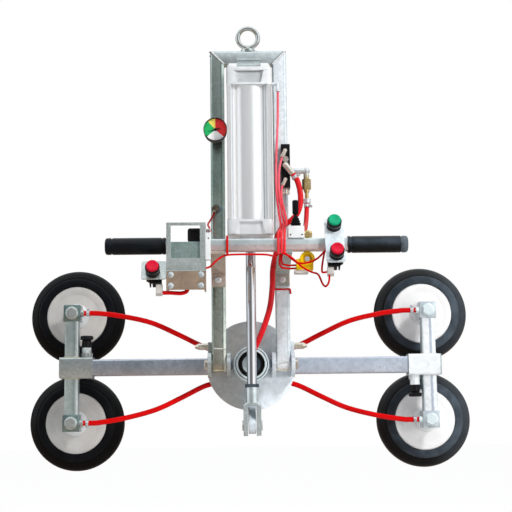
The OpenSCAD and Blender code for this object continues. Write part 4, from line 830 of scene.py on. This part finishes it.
# The upper cap's recess takes the darker alloy: painted shade and a painted shadow.
worked("cylinder_caps", [alloy_cast, alloy_deep], 0.0009,
       pick=lambda x, y, z: int(z > 560 and abs(x) < 30 and -107.5 < y < -90))
worked("rear_clevis", alloy_cast, 0.0008)
screws = []
for x in (-CAP_SCREW, CAP_SCREW):
    for y in (CYLINDER_Y - CAP_SCREW, CYLINDER_Y + CAP_SCREW):
        for z, way in ((600.6, 1), (268.4, -1)):
            screws.append(turned([(2.6, 2.2), (0, 2.2), (0, 0), (6, 0), (6, 5.7), (5.2, 6.5),
                                  (3, 6.2), (2.6, 2.2)], at(x, y, z), (0, 0, way), 24))
screws += [
    turned([(0, 0), (4.5, 0), (4.5, 3), (4, 3.6), (4, 10), (4.6, 10.6), (4.6, 14), (0, 14)],
           at(47.5, CYLINDER_Y, 590.5), (1, 0, 0), 32),
    turned([(0, 0), (4.2, 0), (4.8, 1), (4.8, 5), (4.4, 6), (4.4, 20), (3.4, 21.4), (0, 21.4)],
           at(61.5, CYLINDER_Y, 573.6), (0, 0, 1), 32),
    hexagon(at(40.5, CYLINDER_Y, 590.5), (1, 0, 0), 12, 7)]
gathered("cylinder_screws_and_elbow", "barrel", [plated], screws,
         ("cylinder_fittings",), smooth=40)
gathered("gland_wiper", "barrel", [black],
         [turned([(10.2, 0), (12.6, -1.4), (14.5, -1.2), (15.5, 0), (15.5, 1), (10.2, 1)],
                 at(0, CYLINDER_Y, 251.4), (0, 0, 1), 64)])
pin = [turned([(0, 0), (4.2, 0), (5, 0.8), (5, 86), (4.2, 87), (0, 87)],
              at(-43.5, CYLINDER_Y, CLEVIS_Z), (1, 0, 0), 32)]
for side in (-1, 1):
    pin.append(turned([(4.9, 0), (7, 0.2), (7, 2.2), (6.2, 3), (4.9, 3)],
                      at(side * 42, CYLINDER_Y, CLEVIS_Z), (side, 0, 0), 32))
gathered("clevis_pin_turned", "barrel", [plated], pin, ("clevis_pin",))
print("cylinder done")

# %% Rod and fork
worked("piston_rod", chrome, 0.0004, 20)
worked("piston", alloy, 0.0004, 20)
FORK_NUT = -50.5
worked("rod_fork", [zinc_fork, blue_zinc], 0.0009,
       pick=lambda x, y, z: int(z > FORK_NUT))

clips = []
for side in (-1, 1):
    clips.append(turned([(0, 0), (7.9, 0), (7.9, 10.6), (7.2, 11.4), (2, 11.8), (0, 11.8)],
                        at(side * 9.1, CYLINDER_Y, FORK_Z), (side, 0, 0), 40))
    clips.append(turned([(7.8, 0.1), (10.3, 0.1), (10.5, 0.7), (10.5, 2), (9.8, 2.6), (7.8, 2.6)],
                        at(side * 18, CYLINDER_Y, FORK_Z), (side, 0, 0), 40))
gathered("fork_pin_turned", "rod", [plated], clips, ("fork_pin",))
print("fork done")

# %% [markdown]
# ## Tilt plate, hub and pivots
#
# The round plate carries four ears, which hold the feet of the mast on two bolts. In the middle a
# turned housing holds the sealed bearing. Its black cover has fine rings, and the vacuum hose ends
# there on a barbed elbow.

# %% Tilt plate
worked("tilt_plate", zinc_plate, 0.0009)
# The left ears take the shaded zinc and the right ones the lit zinc: painted shade and light.
worked("pivot_ears", [zinc_lit, zinc_shade], 0.0008,
       pick=lambda x, y, z: int(x < 0))
worked("tilt_lever", zinc_lit, 0.0009)
bolts = []
for side in (-1, 1):
    outwards = (side, 0, 0)
    bolts += [
        hexagon(at(side * BOLT_X, 0, 0), outwards, 18, 7.4),
        hexagon(at(side * 43.4, 0, 0), (-side, 0, 0), 18, 3.9, 1, chamfer=0.6),
        turned([(0, 0), (5.9, 0), (5.9, 48), (0, 48)], at(side * 43.5, 0, 0), outwards, 32),
        turned([(0, 0), (7, 0), (7, 3), (6.4, 3.6), (6.4, 4.2), (7, 4.8), (7, 15.4), (6.4, 16),
                (6.4, 16.6), (7, 17.2), (7, 20), (6.4, 21.2), (5.6, 22.4), (3.8, 26.6),
                (2.6, 28), (0, 28)], at(side * BOLT_X, 24, 40), outwards, 40)]
gathered("pivot_bolts_turned", "tilt_frame", [nickel, blue_zinc], bolts,
         ("pivot_bolts",))
print("tilt plate done")

# %% Hub
hub_front, cover_front = at(0, -20, 0), at(0, -12, 0)
housing = turned([(28.05, 0), (30, -0.2), (31.2, 0.4), (35.6, 0.4), (37, 1.8), (37, 40),
                  (35.8, 41.2), (35.8, 43), (37, 44.2), (37, 60), (20, 60), (20, 48), (28.05, 48)],
                 hub_front, (0, 1, 0), 96)
elbow = turned([(0, -6), (8, -6), (8, 3), (7.4, 3.6), (7.4, 7), (5, 7.6), (0, 7.6)], cover_front,
               (0, -1, 0), 40)
barb = turned([(0, -7), (5.6, -6), (7.4, -3), (7.4, 3), (5, 5), (5, 7.4), (4.2, 14), (0, 14)],
              hub_front, (0, -0.588, 0.809), 40)
# A dark ring set in the housing's front groove: painted shade.
groove = turned([(32.2, 1), (32.2, 0.2), (32.6, -0.2), (33.6, -0.2), (34, 0.2), (34, 1)],
                hub_front, (0, 1, 0), 96, 1)
gathered("hub_housing_turned", "tilt_frame", [hub_zinc, blue_zinc],
         [housing, elbow, barb, groove], ("hub_housing",), smooth=28)
cover = turned([(0, 6), (12, 6), (18.6, 2.4), (19.4, 0.6), (20, 0.3), (22, 0.3), (22.4, 0.9),
                (23, 0.9), (23.4, 0.3), (25, 0.3), (26, 1.6), (27.6, 1.6), (27.95, 2.2),
                (27.95, 40), (0, 40)], cover_front, (0, 1, 0), 96)
inner = turned([(0, 5.2), (11, 5.2), (12.4, 4.4), (18, 1), (19.2, 0.7), (19.8, 1.3), (19.8, 7),
                (0, 7)], cover_front, (0, 1, 0), 96, 1)
gathered("hub_cover", "tilt_frame", [black, hub_cup], [cover, inner],
         ("hub_bearing",), smooth=28)
print("hub done")

# %% [markdown]
# ## Turning arm, sleeves and posts
#
# The arm is one square tube with locking holes. On each end a larger sleeve slides, with a welded
# post above and below. Weld beads run round the joints. A spring-loaded pin with a black knob
# locks each sleeve.

# %% Arm
worked("rotor_hub", zinc_mid, 0.0008)
worked("arm_beam", zinc_arm, 0.0009)
worked("manifold", zinc_mid, 0.0008)


def post_or_sleeve(x, y, z):
    """The posts stand above and below the sleeve, and their sides face left and right."""
    return int(abs(z) > 26 and abs(abs(x) - POST_X) < 16)


worked("sleeve_left", [zinc_mid, post_left], 0.0016, pick=post_or_sleeve)
worked("sleeve_right", [zinc_sleeve, post_right], 0.0016, pick=post_or_sleeve)
for side, name, weld in ((-1, "left", weld_straw), (1, "right", weld_zinc)):
    beads = []
    x, y = side * POST_X, ARM_Y
    for z in (-22.8, 22.8):
        for a, b in (((-14, -15), (14, -15)), ((15, -14), (15, 14)), ((14, 15), (-14, 15)),
                     ((-15, 14), (-15, -14))):
            beads.append(bead((x + a[0], y + a[1], z), (x + b[0], y + b[1], z), 2.8))
    gathered("post_welds_" + name, "arm_" + name, [weld], beads)
print("arm done")

# %% Locking plungers
for side, name, way in ((-1, "left", 1), (1, "right", -1)):
    knob = turned([(0, 0), (9.6, 0), (10.5, 0.9), (10.5, 13.2), (9.6, 14.2), (9, 15.4),
                   (12.8, 16.4), (14, 17.6), (14, 22.4), (13.2, 24), (11, 24.9), (0, 25)],
                  at(side * LOCK_X, ARM_Y, way * 44.5), (0, 0, way), 48)
    rod = turned([(0, 0), (3.2, 0), (3.95, 1), (3.95, 39), (0, 39)],
                 at(side * LOCK_X, ARM_Y, way * 17.85), (0, 0, way), 32, 1)
    gathered(f"plunger_{name}_turned", "lock_" + name, [black, plated],
             [knob, rod], ("plunger_" + name,))
print("plungers done")

# %% [markdown]
# ## Suction pads
#
# A pad is a ring of soft rubber on a white plate. Towards the operator it shows its shoulder and
# then the tyre. Behind, the sealing lip stands round a shallow hollow with ring-shaped ribs that
# the load rests on. Both are spun from their section.

# %% Pads and plates
PLATE_HUB, SHOULDER = 0.0275, 0.0845
TYRE_Y, PLATE_Y, BLOCK_FRONT, BLOCK_REAR = 137, 136, 58, 100
# The left pads take black rubber, darker enamel and dark zinc as painted shade; the right ones grey
# rubber, white enamel and paler zinc as painted light.
PAD_FINISHES = {"left": ([rubber, rubber_face], enamel_shaded, [zinc_block_shaded, zinc_mid]),
                "right": ([rubber_right, rubber_shoulder_lit], enamel, [zinc_block_lit, hub_zinc])}
TYRE = [(67.1, 6.2), (68, 4.8), (70, 4.1), (82, 5.9), (83.8, 6.7), (84.6, 8.6), (86.2, 9.9),
        (88.2, 9.9), (90, 11.4), (93.6, 14.4), (98.4, 18.4), (101.8, 23), (104, 29), (104.9, 36),
        (104.4, 40.6), (103.2, 42), (99.4, 42), (97, 37), (92, 30.4), (90, 29.4), (80, 28.9),
        (79.4, 30.2), (75, 30.2), (74.4, 28.8), (62, 28.6), (61.4, 30), (57, 30), (56.4, 28.5),
        (30, 28.3), (12, 28.2), (11, 29.4), (7, 29.4), (6, 28.1), (0, 28)]
PLATE = [(0, -14), (18.6, -14), (20.4, -13.4), (21.6, -12), (22.6, -3.6), (23.8, -1.8), (26, -0.9),
         (27.4, 0.6), (28, 2.6), (29.4, 3.2), (33, 3.5), (35, 4.4), (47, 5), (48.4, 5.6),
         (50, 5.2), (62.4, 5.9), (65, 6.5), (66.5, 7.6), (67, 9), (67, 12), (0, 12)]


def from_pad_axis(place, side):
    """How far a place is from the axis of the nearer pad on its side, in metres."""
    return min((place - at(side * POST_X, 0, z)).xz.length for z in (-PAD_Z, PAD_Z))


for side, name in ((-1, "left"), (1, "right")):
    body, x = "arm_" + name, side * POST_X
    tyre_finishes, plate_finish, mount_finishes = PAD_FINISHES[name]
    tyres, plates, mounts = [], [], []
    for z in (-PAD_Z, PAD_Z):
        tyres.append(turned(TYRE, at(x, TYRE_Y, z), (0, 1, 0), 128))
        plates.append(turned(PLATE, at(x, PLATE_Y, z), (0, 1, 0), 96))
        mounts += [
            block((x - 18, BLOCK_FRONT, z - 18), (x + 18, BLOCK_REAR, z + 18), 0, 1.2),
            hexagon(at(x, 57.2, z), (0, -1, 0), 22, 6.6, 1, 1.1),
            turned([(0, 0), (14, 0), (14, 0.5), (13.4, 0.9), (0, 0.9)], at(x, BLOCK_FRONT, z),
                   (0, -1, 0), 40, 1),
            turned([(0, 0), (12.2, 0), (13, 0.8), (13, 21.7), (0, 21.7)], at(x, BLOCK_REAR, z),
                   (0, 1, 0), 40, 1),
            hexagon(at(x, BLOCK_REAR, z), (0, 1, 0), 29, 5, 1, 1.1),
            turned([(5.7, 0), (7.3, 0.3), (7.3, 6.7), (5.7, 7)], at(x - side * 18, 68, z),
                   (-side, 0, 0), 40, 1),
            block((x - side * 24 - 2.2, 58.4, z - 2.6), (x - side * 24 + 2.2, 61.8, z + 2.6), 1,
                  0.5)]
    for plate in plates:
        for face in plate.faces:
            face.material_index = int(from_pad_axis(face.calc_center_median(), side) < PLATE_HUB)
    tyre = gathered("pad_rubber_" + name, body, tyre_finishes, tyres,
                    ("pads_" + name,), smooth=50)
    for face in tyre.data.polygons:
        if from_pad_axis(face.center, side) < SHOULDER and face.normal.y < 0:
            face.material_index = 1
    gathered("pad_plates_pressed_" + name, body, [plate_finish, alloy_cast], plates,
             ("pad_plates_" + name,), smooth=40)
    gathered("pad_blocks_" + name, body, mount_finishes, mounts,
             ("pad_mounts_" + name,), smooth=35)
print("pads done")

# %% [markdown]
# ## Handlebar and grips
#
# The bar is a square tube on two bent plates. The grips are smooth rubber sleeves with a groove
# near each end. They are spun from a profile, because a texture would leave their outline straight.

# %% Handlebar
worked("handlebar", zinc_bar, 0.0007)
# The left bracket takes the warm zinc, a painted reflection of the floor.
worked("handle_brackets", [zinc_warm, zinc_mid], 0.0007,
       pick=lambda x, y, z: int(x > 0))
GRIP_END, RIGHT_RIM = 122, 0.302
GRIP = [(11.1, 0), (15.4, 0), (16.7, 0.5), (17, 1.6), (17, 5.4), (16.6, 6.2), (15.9, 6.7),
        (15.9, 8.6), (16.6, 9.2), (17, 10), (17, GRIP_END - 16), (16.6, GRIP_END - 15.2),
        (15.9, GRIP_END - 14.6), (15.9, GRIP_END - 12.6), (16.6, GRIP_END - 11.8),
        (17, GRIP_END - 11), (17, GRIP_END - 5), (16, GRIP_END - 1.8), (13, GRIP_END - 0.2),
        (0, GRIP_END)]
grips = gathered("grips_moulded", "mast", [grip_foam, grip_lit, grip_rim],
                 [turned(GRIP, at(194, BAR_Y, BAR_Z), (1, 0, 0), 56),
                  turned(GRIP, at(-171, BAR_Y, BAR_Z), (-1, 0, 0), 56)], ("grips",), smooth=40)
# The right grip takes the lit rubber, and its outer end rim a painted highlight.
for face in grips.data.polygons:
    if face.center.x > 0:
        face.material_index = 2 if face.center.x > RIGHT_RIM else 1
fixings = []
for side in (-1, 1):
    seat = at(side * BAR_SCREW[0], *BAR_SCREW[1:])
    fixings += [turned([(0, 0), (7, 0), (7, 0.6), (6.6, 1), (0, 1)], seat, (0, -1, 0), 32),
                turned([(0, 1), (6.2, 1), (6.6, 1.8), (6, 3.8), (4.2, 4.8), (2.4, 5), (2.4, 3.4),
                        (0, 3.4)], seat, (0, -1, 0), 32),
                turned([(0, 0), (4, 0), (4, 18), (0, 18)], seat, (0, 1, 0), 24)]
corners = []
for x in (-160, -100):
    for z in (148, 170):
        seat = at(x, -170, z)
        corners.append(turned([(0, 0), (6, 0), (6, 0.3), (5.5, 0.6), (0, 0.6)], seat, (0, -1, 0),
                              36))
        fixings.append(turned([(0, 0), (4.5, 0), (4.5, 1.2), (3.8, 2.4), (1.8, 3), (1.8, 1.6),
                               (0, 1.6)], seat, (0, -1, 0), 28))
gathered("frame_screws", "mast", [plated], fixings, ("frame_bolts",), smooth=40)
gathered("corner_washers", "mast", [zinc_corner], corners, smooth=40)
fold = bead((-168.6, -170, 178), (-91.4, -170, 178), 1.1)
gathered("housing_fold_line", "mast", [zinc_corner], [fold])
print("handlebar done")

# %% [markdown]
# ## Controls
#
# Push buttons stand in black collars on two leaning plates. Each cap slides in its collar, so cap
# and collar are pieces of their own. The folded sheet housing on the left has an open window, and
# the hand valve on the bar has a bellows and a knob.

# %% Button plates, collars and caps
LEAN = math.radians(-26)
SHELF = (-163.5, -159.5)
RIGHT_TOP, LEFT_TOP = (-150, 283), (-150, 200)
RED_DOWN, RELEASE_DOWN = 87, 25.4


def port_block_or_valve(x, y, z):
    """The port blocks hang below the two lower valves, more than 20 mm down the panel."""
    for (top_y, top_z), down in ((RIGHT_TOP, RED_DOWN), (LEFT_TOP, RELEASE_DOWN)):
        local = Matrix.Rotation(-LEAN, 3, "X") @ Vector((0, y - top_y, z - top_z))
        if abs(x) > 148 and (x > 0) == (top_z > 250) and local.z + down < -20.3:
            return 1
    return 0


# The right button plate takes the lit zinc: painted light.
worked("button_brackets", [zinc_lit, zinc_mid], 0.0005,
       pick=lambda x, y, z: int(x < 0))
worked("button_valves", [black, beige], 0.0007, pick=port_block_or_valve)
worked("control_housing", [zinc_sheet, zinc_shelf], 0.0005,
       pick=lambda x, y, z: int(SHELF[0] < y < SHELF[1]))
worked("vacuum_switch", white_plastic, 0.0008)
marks = [block((left, -168.35, low), (right, -168, low + 2.8))
         for low in (254.6, 258) for left, right in ((-90, -86.4), (-85.8, -82))]
marks.append(turned([(0, 0), (1.45, 0), (1.45, 3), (0, 3)], at(-85, -168, 243), (0, 1, 0), 24, 1))
gathered("switch_marks", "mast", [brown_patch, black], marks)


def on_panel(x, top, down, y=0.0):
    """A place on a leaning plate: across, down its face and out of it."""
    run = Matrix.Rotation(LEAN, 3, "X") @ Vector((0, y, -down))
    return at(x, top[0] + run.y, top[1] + run.z)


OUT = tuple(Matrix.Rotation(LEAN, 3, "X") @ Vector((0, -1, 0)))
# Name, finish, slot, place across, top of the plate and distance down it
BUTTONS = [("green", cap_green, "green_cap", 166, RIGHT_TOP, 18),
           ("red", cap_red, "red_cap", 168, RIGHT_TOP, RED_DOWN),
           ("release", cap_red, "red_cap", -196, LEFT_TOP, RELEASE_DOWN)]
collars = []
for word, finish, slot, x, top, down in BUTTONS:
    foot = on_panel(x, top, down)
    collars += [turned([(0, 6), (12.8, 6), (12.8, 19.2), (13.4, 20), (14, 19.6), (14.5, 18.6),
                        (14.5, 8.4), (13.9, 7.8), (13.9, 6.8), (14.5, 6.2), (14.5, 0), (0, 0)],
                       foot, OUT, 48)]
    cap = turned([(0, 11), (12.5, 11), (12.5, 23.6), (12.2, 24.4), (11.2, 25), (9, 25.3),
                  (8.4, 24.9), (0, 24.6)], foot, OUT, 48)
    gathered(f"button_{word}_moulded", "cap_" + word, [finish], [cap], ("button_" + word,),
             smooth=50)
gathered("button_collars_moulded", "mast", [black], collars, ("button_collars",),
         smooth=50)
print("buttons done")

# %% Hand valve
BOOT = [(0, 0), (10.6, 0), (11.4, 0.6), (11.4, 2.6), (9, 4.2), (10.6, 5.8), (10.6, 7.8), (8, 9.2),
        (9.2, 10.8), (9, 12.8), (6.8, 14.2), (7.6, 15.8), (7, 17.6), (5.4, 19), (4.6, 22), (0, 22)]
boot = gathered("bellows", None, [rubber],
                [turned(BOOT, at(VALVE_X, BAR_Y, VALVE_TOP))], ("valve_boot",), smooth=70)
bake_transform(boot)
KNOB = [(0, 22.3), (2.8, 22.3), (2.8, 26), (5.6, 26.6), (6.2, 28.4), (6.4, 52), (5.8, 53.8),
        (4.4, 55), (0, 55)]
gathered("lever_knob", "hand_lever", [rubber_face],
         [turned(KNOB, at(VALVE_X, BAR_Y, VALVE_TOP), steps=40)], ("valve_lever",), smooth=50)
worked("lever_valve", white_plastic, 0.0009)


def horn_finish(x, y, z):
    """A metal centre in the mouth, a pale foot and a dark hanger; the rest is yellow."""
    if math.hypot(x - 113, z - 204) < 5.3 and -139.6 < y < -134.4:
        return 1
    if z < 181.9:
        return 2
    return 3 if z > 219.2 else 0


worked("alarm_horn", [yellow, plated, beige, black], 0.0007, pick=horn_finish)
print("hand valve done")

# %% [markdown]
# ## Gauge
#
# The vacuum gauge has a black case and a printed dial with coloured sectors. The dial is a disc of
# thin slices, and each slice takes the colour of its sector, by its angle clockwise from the top.
# Short strokes mark the scale.

# %% Gauge
case = turned([(0, 0), (22, 0), (24, 1.4), (24, 22), (25, 23), (25, 27.2), (24.7, 28), (24.2, 28),
               (23.9, 26.6), (23.9, 20), (0, 20)], at(GAUGE_X, -47, GAUGE_Z), (0, -1, 0), 72)
stem = [turned([(0, 0), (7, 0), (7, 32), (0, 32)], at(GAUGE_X, -15, GAUGE_Z), (0, -1, 0), 32),
        hexagon(at(GAUGE_X, -36, GAUGE_Z), (0, -1, 0), 14, 9)]
gathered("gauge_case_turned", "mast", [black], [case, *stem], ("gauge_case",),
         smooth=40)
DIAL_EDGE = 0.0231
SCALE_START, SCALE_STEP, YELLOW_FROM, RED_FROM, RED_TO = 232, 27, 322, 1, 128


def sector(place):
    """The finish of a slice: from the scale's start green, yellow and red, and then white."""
    clock = math.degrees(math.atan2(place.x, place.y)) % 360
    if place.length > DIAL_EDGE or RED_TO <= clock <= SCALE_START:
        return 0
    if clock > YELLOW_FROM or clock < RED_FROM:
        return 2
    return 1 if clock > SCALE_START else 3


dial = bmesh.new()
bmesh.ops.create_circle(dial, cap_ends=True, cap_tris=True, segments=72, radius=0.0237)
bmesh.ops.inset_region(dial, faces=dial.faces[:], thickness=0.0008)
for face in dial.faces:
    face.material_index = sector(face.calc_center_median())
stand = Matrix.Rotation(math.pi / 2, 4, "X")
stand.translation = at(GAUGE_X, -68.2, GAUGE_Z)
bmesh.ops.transform(dial, matrix=stand, verts=dial.verts)
back = turned([(0, 0), (23.8, 0), (23.8, 0.8), (0, 0.8)], at(GAUGE_X, -67, GAUGE_Z), (0, -1, 0), 60)
marks = []
for i in range(11):
    angle = math.radians(SCALE_START + SCALE_STEP * i)
    mark = bmesh.new()
    bmesh.ops.create_cube(mark, size=1)
    long = 0.0046 if i % 5 == 0 else 0.003
    bmesh.ops.scale(mark, vec=(0.0005, 0.0002, long), verts=mark.verts)
    bmesh.ops.translate(mark, vec=(0, 0, 0.0228 - long / 2), verts=mark.verts)
    bmesh.ops.rotate(mark, cent=(0, 0, 0), matrix=Matrix.Rotation(angle, 3, "Y"), verts=mark.verts)
    bmesh.ops.translate(mark, vec=at(GAUGE_X, -68.35, GAUGE_Z), verts=mark.verts)
    for face in mark.faces:
        face.material_index = 4
    marks.append(mark)
gathered("gauge_dial_printed", "mast", printed, [back, dial, *marks], ("gauge_dial",))
worked("gauge_needle", black, 0)
lens = turned([(0, 0), (23.8, 0), (23.8, 1.2), (21, 1.5), (0, 1.6)],
              at(GAUGE_X, -73.5, GAUGE_Z), (0, -1, 0), 72)
gathered("gauge_glass", "mast", [glass], [lens], ("gauge_lens",))
print("gauge done")

# %% [markdown]
# ## Ejector and air inlet
#
# The black ejector block turns compressed air into vacuum. Nickel elbows, a hexagon plug and a
# barbed hose tail sit on it. The fitting on the left leg, of dull brass, belongs to the same node.
# Beside the mast the air comes in through a small brass valve.

# %% Ejector and inlet
worked("ejector_block", black, 0.0008)
worked("ejector_fittings", [nickel, brass_dull], 0.0004, pick=lambda x, y, z: int(x < 0))


def hose_clamp(place, along, inner, wide, out):
    """A steel band round a hose, with a worm screw on the side that out points to."""
    along, out = Vector(along).normalized(), Vector(out).normalized()
    side = along.cross(out)
    band = turned([(inner, -wide / 2), (inner + 1.1, -wide / 2), (inner + 1.4, 0),
                   (inner + 1.1, wide / 2), (inner, wide / 2)], at(*place), along, 40)
    seat = at(*place) + out * (inner + 3.4) / 1000
    worm = turned([(0, -5.4), (2.3, -5.4), (2.6, -4.8), (2.6, 3), (2, 3.2), (2, 5.2), (0, 5.2)],
                  seat, side, 24)
    return [band, worm]


clamps = hose_clamp((95.6, -52.2, 390.2), (8.4, -0.2, -12.1), 6.05, 6.5, (0.8, -0.5, 0.5))
clamps += hose_clamp((120.7, -31, 332.4), (-1, -3, -20), 5.05, 6, (1, -0.3, 0))
gathered("supply_hose_clamps", "mast", [plated], clamps, smooth=50)
washer = turned([(5.2, 0), (9.8, 0), (10.3, 0.4), (10.3, 1), (9.8, 1.4), (5.2, 1.4)],
                at(-71, -15, 330), (0, -1, 0), 40)
gathered("leg_port_washer", "mast", [blue_zinc], [washer], smooth=50)


def inlet_finish(x, y, z):
    """The pipe, its ball and the lowest collar are plated; the rest of the valve is brass."""
    return int(y > -60 and (z > 398 or z < 348))


worked("inlet_valve", [brass, plated], 0.0004, pick=inlet_finish)
print("ejector done")

# %% [markdown]
# ## Hoses and tubes
#
# Red hoses carry the vacuum, and thin red tubes carry the air. Each follows the same points as in
# the CAD model. Where a hose crosses a joint it rides on no body, with its shape baked in place.
# Only the lower part of the main hose is left on no body, because a longer free part would
# stretch more at full tilt.

# %% Vacuum hoses
MAIN = [(54, -44, 237.8), (54, -44, 230), (49, -46, 210), (46, -46, 190), (45, -47, 160),
        (40, -48, 120), (31, -49, 88), (21, -48, 62), (11, -43.5, 40), (3, -38.5, 27),
        (0, -34.6, 20.1), (0, -28.4, 11.6)]
EJECTOR = [(91.1, -52.1, 396.6), (99.5, -52.3, 384.5), (105, -56, 362), (106, -60, 336),
           (99, -61, 312), (86, -59, 297), (70, -54, 286), (59, -47, 270), (54, -44, 254),
           (54, -44, 238.2)]
INLET = [(121, -30, 338), (120, -33, 318), (117, -50, 292), (112, -80, 272), (102, -102, 260),
         (98, -110, 257), (98, -116, 257), (98, -122.7, 257)]
main = hose_piece("hose_main_bent", MAIN, 12, hose_gloss, None, ("hose_main",))
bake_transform(main)
hose_piece("hose_from_ejector", EJECTOR, 12, hose_gloss, "mast", ("hose_supply",))
hose_piece("hose_from_inlet", INLET, 10, hose_gloss, "mast", ("hose_supply",))
PAD_END = [(324.7, 67, 117), (341.7, 68, PAD_Z), (353.7, 68, PAD_Z), (367.7, 68, PAD_Z)]
UPPER = [(72.3, 70, 36), (88, 70, 38), (115, 69, 49), (155, 67, 69), (215, 66, 96), (280, 66, 111),
         *PAD_END]
LOWER = [(72.3, 70, 36), (88, 70, 38), (110, 69, 46), (150, 68, 66), (205, 67, 91), (270, 66, 108),
         *PAD_END]
for side, name in ((-1, "left"), (1, "right")):
    for z, route, word in ((1, UPPER, "upper"), (-1, LOWER, "lower")):
        line = [(side * x, y, z * h) for x, y, h in route]
        pad_hose = hose_piece(f"pad_hose_{name}_{word}", line, 11,
                              hose_red if side > 0 else hose_deep, None, ("hoses_" + name,))
        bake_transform(pad_hose)
    bands = hose_clamp((side * 352, 68, PAD_Z), (side, 0, 0), 5.55, 6.5, (0, -0.3, 1))
    bands += hose_clamp((side * 352, 68, -PAD_Z), (side, 0, 0), 5.55, 6.5, (0, -1, -0.5))
    gathered("pad_hose_clamps_" + name, "arm_" + name, [plated], bands, smooth=50)
print("vacuum hoses done")

# %% Air tubes
# Name, outside in millimetres and route
TUBES = [
    ("air_tube_pilot", 5, [(69, -50, 434.1), (66.3, -51.5, 425), (63, -58, 410), (61, -66, 390),
     (61, -70, 350), (66, -76, 310), (69, -84, 288), (66, -112, 270), (62, -148, 260),
     (60.5, -160, 248), (60.5, -160, 232), (60.5, -157, 214)]),
    ("air_tube_low", 5, [(69.4, -49.4, 373), (67, -51, 365), (66, -58, 352), (67, -72, 332),
     (72, -80, 308), (74, -92, 288), (71, -114, 272), (68, -148, 261), (66.7, -160, 248),
     (66.7, -160, 232), (66.7, -156, 214)]),
    ("air_tube_bar", 4, [(54, -158, 212), (48, -150, 208), (30, -146, 212), (0, -145, 213),
     (-30, -145, 213), (-52, -147, 211), (-66, -152, 203), (-76, -153, 194), (-83, -148, 188),
     (-90.7, -146, 186)]),
    ("air_tube_loop", 4, [(60.5, -157, 214), (77.3, -156, 206.5), (89.3, -155, 196.6),
     (101.2, -154, 185.5), (119, -155, 175.2), (131.5, -159, 170.3), (136.5, -164, 160.5),
     (140, -173, 149), (145.5, -182, 142.5), (150.8, -188, 149), (152.5, -189.3, 158.8),
     (152.5, -186.8, 163.9)]),
    ("air_tube_cross", 4, [(66.7, -156, 214), (74, -151, 208.5), (82, -148, 202), (91, -147, 196),
     (102, -147, 193.5), (118, -148, 196), (132, -151, 202.4), (141, -154, 210.5),
     (146.5, -157.5, 216), (152, -159, 217), (157, -159.9, 214.7), (157, -162.5, 209.3)]),
    ("air_tube_link", 4, [(157, -169.7, 212.9), (157, -167.3, 217.4), (152, -165, 218.7),
     (147.3, -163.5, 216.5), (145, -164, 210), (141.7, -167, 194), (139.5, -171, 179),
     (139.8, -177, 171.5), (143.5, -181.5, 170.5), (148.7, -183.3, 171)]),
    ("air_tube_horn_high", 4, [(62, -150, 213), (61, -136, 204), (64, -124, 196), (74, -121, 193.5),
     (84, -123, 193), (91, -124, 193)]),
    ("air_tube_horn_low", 4, [(58, -150, 212), (57, -134, 200), (61, -121, 190), (73, -118, 187.5),
     (84, -120, 187), (91, -121, 187)]),
    ("air_tube_green", 4, [(160, -129.7, 253.1), (160, -121.6, 249.2), (150, -112, 244),
     (128, -108, 236), (100, -108, 238), (84, -111, 250), (80, -115, 255), (80, -122.7, 256)]),
    ("air_tube_gauge", 4, [(-76, -24.6, 320.3), (-79.1, -28.7, 311.7), (-84, -44, 300),
     (-88, -72, 287), (-84, -105, 274), (-82, -126, 265), (-84, -134, 262), (-90.7, -135, 262)]),
    ("release_hose", 8, [(-176.2, -160.4, 135.2), (-170, -160.4, 135.2), (-160, -158.5, 135.3),
     (-150, -155.5, 134.8), (-140, -152, 135), (-131.5, -149.5, 137.5), (-128, -148.5, 141.5),
     (-128, -148.5, 145.7)]),
]
for name, wide, route in TUBES:
    finish = tube_pink if wide == 5 else hose_red
    hose_piece(name, route, wide, finish, "mast", ("air_tubes",), 8, 5)
CYLINDER_TUBE = [(61.5, -60, 573.2), (61.5, -60, 558), (60, -62, 500), (57, -64, 450),
                 (55, -66, 400), (56, -68, 350), (60, -72, 310), (63, -80, 285), (60, -110, 268),
                 (56, -148, 259), (54, -160, 248), (54, -160, 232), (54, -158, 212)]
riser = hose_piece("air_tube_cylinder", CYLINDER_TUBE, 5, tube_pink, None, ("air_tubes",), 8, 6)
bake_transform(riser)
ties = [tube_shape([(-48, -156, 213), (-48, -156.4, 232), (-48, -155, 246), (-48, -147, 249.4),
                    (-48, -133, 249.4), (-48, -124.6, 245), (-48, -123.8, 232), (-48, -124.6, 220),
                    (-48, -132, 214.8), (-48, -147, 214.8), (-48, -155.4, 216)], 4.6),
        tube_shape([(50, -10, 157.6), (48.6, -15.6, 157.4), (53, -17.6, 157), (66, -17.8, 156.6),
                    (79, -17.6, 157), (83.2, -16, 156.4), (84, -14.6, 152), (84.4, -13.6, 147)],
                   3.8)]
gathered("red_ties", "mast", [hose_red], ties, smooth=60)
print("air tubes done")
